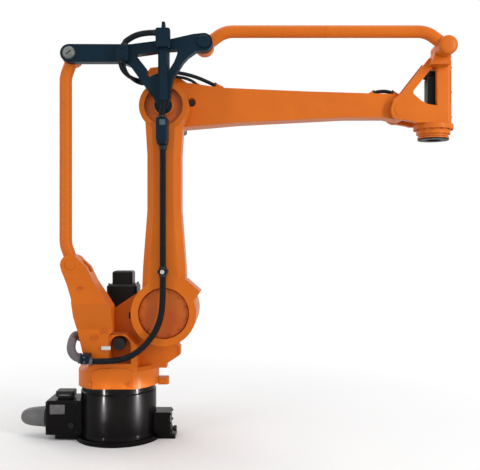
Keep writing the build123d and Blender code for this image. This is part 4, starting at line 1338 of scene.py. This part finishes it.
BASE = SubAssembly(
    "base",
    (
        Plate("junction_plate", "bare_plate", Facing.NEAR, (-235, -70, 124), (60, 38), 1.2, 3, 0.5),
        ScrewSet("junction_screws", SMALL, Facing.NEAR, grid((-276, -158), (-70,), (34, 148)), "motor_black"),
        Turned("junction_plug", "motor_black", Facing.NEAR, (-178, -70, 60), cap(13, 8, 2)),
        ScrewSet(
            "junction_far_screws", SMALL, Facing.FAR, grid((-276, -158), (70,), (34, 148)), "motor_black"
        ),
        Plate("connector_latch", "pin_steel", Facing.NEAR, (-216, -30, 172), (46, 5), 2.5, 2, 0.6),
        ScrewSet("service_screws", SMALL, Facing.FRONT, grid((214,), (-37, 37), (60, 97)), "motor_black"),
        Turned("fitting_nut", "dark_steel", Facing.FRONT, (214, 0, 30), cap(14, 6, 1.5)),
    ),
)

COLUMN = SubAssembly(
    "column",
    (
        Plate("arch_connector", "white_plastic", Facing.NEAR, (-24, -150, 383), (36, 15), 9, 3, 1.5),
        Turned("drum_cap_nut", "orange_paint", Facing.NEAR, (-91, -143, 241), cap(8, 8, 3)),
        Turned("drum_cap_nut_front", "orange_paint", Facing.NEAR, (67, -143, 241), cap(8, 8, 3)),
        Turned("loop_collar", "bare_plate", Facing.FRONT, (-81, -186, 337), collar(11.5, 16, 13)),
        Turned("feed_collar", "dark_steel", Facing.BACK, (-113, -182, 349), collar(16, 20, 9)),
        Plate("clamp_tab", "bare_plate", Facing.NEAR, (-120, -165, 330), (22, 9), 2.5, 2, 0.6),
        ScrewSet("clamp_screws", SMALL, Facing.NEAR, grid((-97,), (-205,), (357, 337)), "dark_steel"),
        ScrewSet(
            "bracket_foot_screws", LARGE, Facing.NEAR, ((-68, -150, 425), (-30, -150, 448)), "orange_paint"
        ),
        ScrewSet("bracket_plate_screw", MIDDLE, Facing.NEAR, ((-112, -200, 620),), "orange_paint"),
        Turned("bracket_pin_cap", "orange_paint", Facing.NEAR, (-153, -200, 708), cap(18, 4, 1.5)),
        Turned("bracket_pin_nut", "orange_paint", Facing.FAR, (-153, -99.4, 708), cap(18, 4, 1.5)),
        Plate("web_slot_plug", "black_plastic", Facing.NEAR, (52, -50, 499), (8, 27), 0.8, 4, 0.3),
        ScrewRing("far_cover_screws", MIDDLE, Facing.FAR, (200, 123, 518), 84, 10, 18, "orange_paint"),
        Turned("far_cover_boss", "orange_paint", Facing.FAR, (200, 123, 518), cap(48, 6, 2)),
        Turned("far_cover_plug", "dark_steel", Facing.FAR, (200, 129, 575), cap(7, 4, 1)),
        Turned("swing_motor_plug", "black_plastic", Facing.FAR, (8, 114, 650), cap(15, 14, 2)),
        Turned("turn_motor_plug", "black_plastic", Facing.FAR, (-20, 246, 502), cap(15, 14, 2)),
        ScrewSet("swing_motor_screws", SMALL, Facing.UP, grid((-44, 60), (20, 124), (618,)), "dark_steel"),
        ScrewSet("turn_motor_screws", SMALL, Facing.UP, grid((-72, 32), (152, 256), (480,)), "dark_steel"),
    ),
)

LINK_ARM = SubAssembly(
    "link_arm",
    (
        # The cover's screws take the darker orange of the recess: painted shade.
        ScrewRing("cover_screws", SMALL, Facing.NEAR, (200, -155, 518), 88, 12, 15, "painted_shade_orange"),
        # A thin sheet of the darker orange on the floor of the head's recess: painted shade.
        Turned(
            "head_recess_shade_sheet",
            "painted_shade_orange",
            Facing.NEAR,
            (200, -149, 1323),
            ((41, 0), (41, 0.6), (73, 0.6), (73, 0), (41, 0)),
        ),
        # The clip's screw head is white: a painted glint on the clip.
        ScrewSet("clip_glint_screw", FLAT, Facing.NEAR, ((200, -205, 681),), "white_plastic"),
        Turned("clip_sleeve_low", "black_plastic", Facing.DOWN, (200, -185, 673), collar(11, 14.5, 12)),
        Turned("clip_sleeve_high", "black_plastic", Facing.UP, (200, -185, 689), collar(11, 14.5, 12)),
        Turned("socket_sleeve", "black_plastic", Facing.DOWN, (200, -185, 1166), collar(11, 15.5, 18)),
        Turned("socket_neck_sleeve", "black_plastic", Facing.UP, (200, -228, 1265), collar(11, 14, 9)),
        # A lighter plate on the socket box's upper part: a painted highlight.
        Plate("socket_highlight_plate", "lever_paint_highlight", Facing.NEAR, (204, -241, 1246), (22, 22), 1.5, 4, 0.6),
        ScrewSet("socket_screws", SMALL, Facing.NEAR, grid((187, 213), (-241,), (1180,)), "motor_black"),
    ),
)

LINKAGE = SubAssembly(
    "linkage",
    (
        Turned(
            "top_pin_cap",
            "lever_paint",
            Facing.NEAR,
            (358, -214.8, 1555),
            ((0, 0), (23.5, 0), (23.5, 10), (21.5, 12), (0, 12)),
        ),
        Plate("rear_pin_slot", "black_plastic", Facing.NEAR, (-153, -225, 1513), (24, 4), 0.4, 0, 0, 38),
        Turned("rear_pin_ring", "dark_steel", Facing.NEAR, (-153, -215, 1513), collar(22, 25, 5)),
        ScrewSet(
            "mast_clamp_screws", SMALL, Facing.NEAR, grid((190, 226), (-258.6,), (1585, 1535)), "motor_black"
        ),
        ScrewSet("lever_clamp_screws", SMALL, Facing.NEAR, grid((54,), (-245,), (1525, 1489)), "motor_black"),
        Turned("lever_hose_nut", "black_plastic", Facing.UP, (60, -230, 1535), collar(10, 14, 9)),
        Turned("lever_hose_end", "black_plastic", Facing.BACK, (181, -251, 1579), collar(10, 12, 9)),
        Turned("elbow_hose_nut", "black_plastic", Facing.DOWN, (44, -230, 1479), collar(7, 11, 9)),
    ),
)

ARM = SubAssembly(
    "arm",
    (
        Turned("arm_pocket_plug", "black_plastic", Facing.NEAR, (300, -38, 1356), cap(13, 5, 1.5)),
        Turned("elbow_hose_collar", "black_plastic", (-23.4, 0, 11.3), (398, -24, 1428), collar(7, 12, 10)),
        Turned("arm_hose_collar_back", "black_plastic", (19.9, 0, 11.5), (1042, 0, 1402), collar(7, 12, 9)),
        Turned("arm_hose_collar_front", "black_plastic", (-19.9, 0, 11.5), (1122, 0, 1402), collar(7, 12, 9)),
        ScrewRing("tilt_gearbox_screws", SMALL, Facing.FAR, (200, 110, 1323), 78, 10, 18, "orange_paint"),
        Turned("tilt_motor_plug", "black_plastic", Facing.UP, (200, 252, 1369), cap(15, 14, 2)),
        Turned("lower_strand_gland", "orange_paint", Facing.UP, (325, -38, 1426), cap(9, 8, 2)),
    ),
)

UPPER_ROD = SubAssembly(
    "upper_rod",
    (
        Turned("upper_rod_weld", "orange_paint", Facing.FRONT, (826, -149.7, 1612), WELD),
    ),
)

REAR_ROD = SubAssembly(
    "rear_rod",
    (
        Turned("rear_rod_weld", "orange_paint", Facing.UP, (-181, -149.7, 1106), WELD),
    ),
)

WRIST = SubAssembly(
    "wrist",
    (
        Turned("wrist_pin_cap", "orange_paint", Facing.NEAR, (1140, -71, 1323), cap(26, 2, 1)),
        Turned("wrist_pin_far_cap", "orange_paint", Facing.FAR, (1140, 71, 1323), cap(26, 2, 1)),
        Turned(
            "top_front_dome",
            "orange_paint",
            Facing.NEAR,
            (1298, -174.7, 1555),
            ((0, 0.3), (36.5, 0.3), (36.5, 4), (33, 9), (26, 12.5), (15, 14.8), (0, 15.4)),
        ),
        # The front cover's seam is a thin strip of the darker orange of painted shade.
        Plate("front_cover_seam", "painted_shade_orange", Facing.NEAR, (1343, -56, 1418), (2, 128), 1.2),
        ScrewSet(
            "front_cover_screws",
            SMALL,
            Facing.FRONT,
            grid((1350,), (-34, 34), (1300, 1400, 1500)),
            "orange_paint",
        ),
        # The screws under the ring take the darker orange: painted shade on the underside.
        ScrewRing("ring_screws", SMALL, Facing.DOWN, (1288, 0, 1252), 73.5, 12, 15, "painted_shade_orange"),
        Turned("wrist_motor_plug", "black_plastic", Facing.BACK, (1258, 0, 1470), cap(12, 10, 2)),
    ),
)

FLANGE = SubAssembly(
    "flange",
    (
        Turned("flange_band", "orange_paint", Facing.DOWN, (1288, 0, 1221.5), collar(61.5, 63.4, 6.5)),
    ),
)

SUB_ASSEMBLIES = (BASE, COLUMN, LINK_ARM, LINKAGE, ARM, UPPER_ROD, REAR_ROD, WRIST, FLANGE)


# The studio.

# The surroundings' strength where they light the robot, and where the camera or a glossy face sees them.
AMBIENT = 0.52
SHOWN_WHITE = 1.0


def seen_white(tree: bpy.types.NodeTree) -> bpy.types.NodeSocket:
    """Give a strength that is higher where the camera or a glossy face looks at the surroundings.

    Args:
        tree: The tree of the floor or the world.

    Returns:
        The strength's socket.
    """
    path = new_node(tree, "ShaderNodeLightPath")
    either = combine(tree, "MAXIMUM", path.outputs["Is Camera Ray"], path.outputs["Is Glossy Ray"])
    level = new_node(tree, "ShaderNodeMapRange")
    level.inputs["To Min"].default_value = AMBIENT
    level.inputs["To Max"].default_value = SHOWN_WHITE
    link(tree, either, level.inputs["Value"])
    return level.outputs["Result"]


@dataclass(frozen=True)
class StudioFloor:
    """A plain pale floor that keeps the shadow near the robot and fades into the white surroundings."""

    side: float = 60
    tone: float = 0.94
    roughness: float = 0.8
    specular: float = 0.1
    fade_from: float = 0.45
    fade_to: float = 1.9

    def build(self) -> None:
        """Lay the floor."""
        bpy.ops.mesh.primitive_plane_add(size=self.side, location=(0, 0, 0))
        floor = bpy.context.active_object
        floor.name = "studio_floor"
        floor.data.materials.append(self.finish())

    def finish(self) -> bpy.types.Material:
        """Make the floor's material.

        Returns:
            The material, which turns from floor to white with the distance from the robot.
        """
        material, tree, shader = new_material("studio_white")
        shader.inputs["Base Color"].default_value = (self.tone, self.tone, self.tone, 1)
        shader.inputs["Roughness"].default_value = self.roughness
        shader.inputs["Specular IOR Level"].default_value = self.specular
        glow = new_node(tree, "ShaderNodeEmission")
        link(tree, seen_white(tree), glow.inputs["Strength"])
        place = new_node(tree, "ShaderNodeTexCoord")
        reach = new_node(tree, "ShaderNodeVectorMath", operation="LENGTH")
        link(tree, place.outputs["Object"], reach.inputs[0])
        mix = new_node(tree, "ShaderNodeMixShader")
        link(tree, ramp(tree, reach.outputs["Value"], self.fade_from, self.fade_to), mix.inputs[0])
        link(tree, shader.outputs[0], mix.inputs[1])
        link(tree, glow.outputs[0], mix.inputs[2])
        link(tree, mix.outputs[0], tree.nodes["Material Output"].inputs["Surface"])
        return material


class StudioWorld:
    """The even white surroundings."""

    def build(self) -> None:
        """Make the world and give it to the scene."""
        world = bpy.data.worlds.new("studio_world")
        world.use_nodes = True
        background = world.node_tree.nodes["Background"]
        background.inputs["Color"].default_value = (1.0, 1.0, 1.0, 1)
        link(world.node_tree, seen_white(world.node_tree), background.inputs["Strength"])
        bpy.context.scene.world = world


@dataclass(frozen=True)
class SoftBox:
    """A soft studio light. Its spread is in degrees, and its size and places are in metres."""

    name: str
    place: Place
    target: Place
    size: tuple[float, float]
    power: float
    spread: float = 180.0

    def build(self) -> None:
        """Place the light and aim it."""
        data = bpy.data.lights.new(self.name, "AREA")
        data.shape = "RECTANGLE"
        data.size, data.size_y = self.size
        data.energy = self.power
        data.spread = math.radians(self.spread)
        lamp = bpy.data.objects.new(self.name, data)
        lamp.location = self.place
        lamp.visible_camera = False
        aim = Vector(self.target) - Vector(self.place)
        lamp.rotation_euler = aim.to_track_quat("-Z", "Y").to_euler()
        bpy.context.scene.collection.objects.link(lamp)


LIGHTS = (
    SoftBox("key_box", (3.3, -2.3, 1.7), (0.6, 0, 0.9), (0.6, 2.6), 73.0),
    SoftBox("fill_box", (-2.7, -2.6, 1.3), (0.2, 0, 0.7), (0.45, 2.4), 32.0),
    SoftBox("front_box", (0.8, -5.2, 2.4), (0.5, 0, 0.8), (2.6, 1.6), 16.0),
    SoftBox("top_box", (0.4, 0.2, 4.2), (0.4, 0, 0.8), (3.0, 2.4), 39.0),
    SoftBox("edge_box", (-2.4, 2.6, 2.6), (0.2, 0, 0.9), (1.6, 2.4), 30.0),
    SoftBox("left_strip", (-0.42, -0.67, 0.055), (-0.04, -0.17, 0.14), (0.05, 0.09), 0.07, 14),
    SoftBox("right_strip", (0.81, -0.41, 0.055), (0.11, -0.13, 0.14), (0.10, 0.09), 0.20, 14),
)


@dataclass(frozen=True)
class PictureCamera:
    """The camera, where the picture was taken from, level with the middle of the robot."""

    place: Place = (0.496, -2.87, 0.822)
    lens: float = 52.5
    sensor: float = 36.0

    def build(self) -> None:
        """Set the camera, looking straight ahead, and give it to the scene."""
        data = bpy.data.cameras.new("picture_camera")
        data.sensor_width = self.sensor
        data.lens = self.lens
        camera = bpy.data.objects.new("picture_camera", data)
        camera.location = self.place
        camera.rotation_euler = (math.pi / 2, 0, 0)
        bpy.context.scene.collection.objects.link(camera)
        bpy.context.scene.camera = camera


def main() -> None:
    """Dress the robot and set the studio."""
    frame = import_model()
    bpy.context.scene.view_settings.view_transform = "Standard"
    paint_nodes(frame["nodes"])
    for maker in (*HOSES, *SUB_ASSEMBLIES, StudioFloor(), *LIGHTS, StudioWorld(), PictureCamera()):
        maker.build()


if __name__ == "__main__":
    logging.basicConfig(level=logging.INFO)
    main()
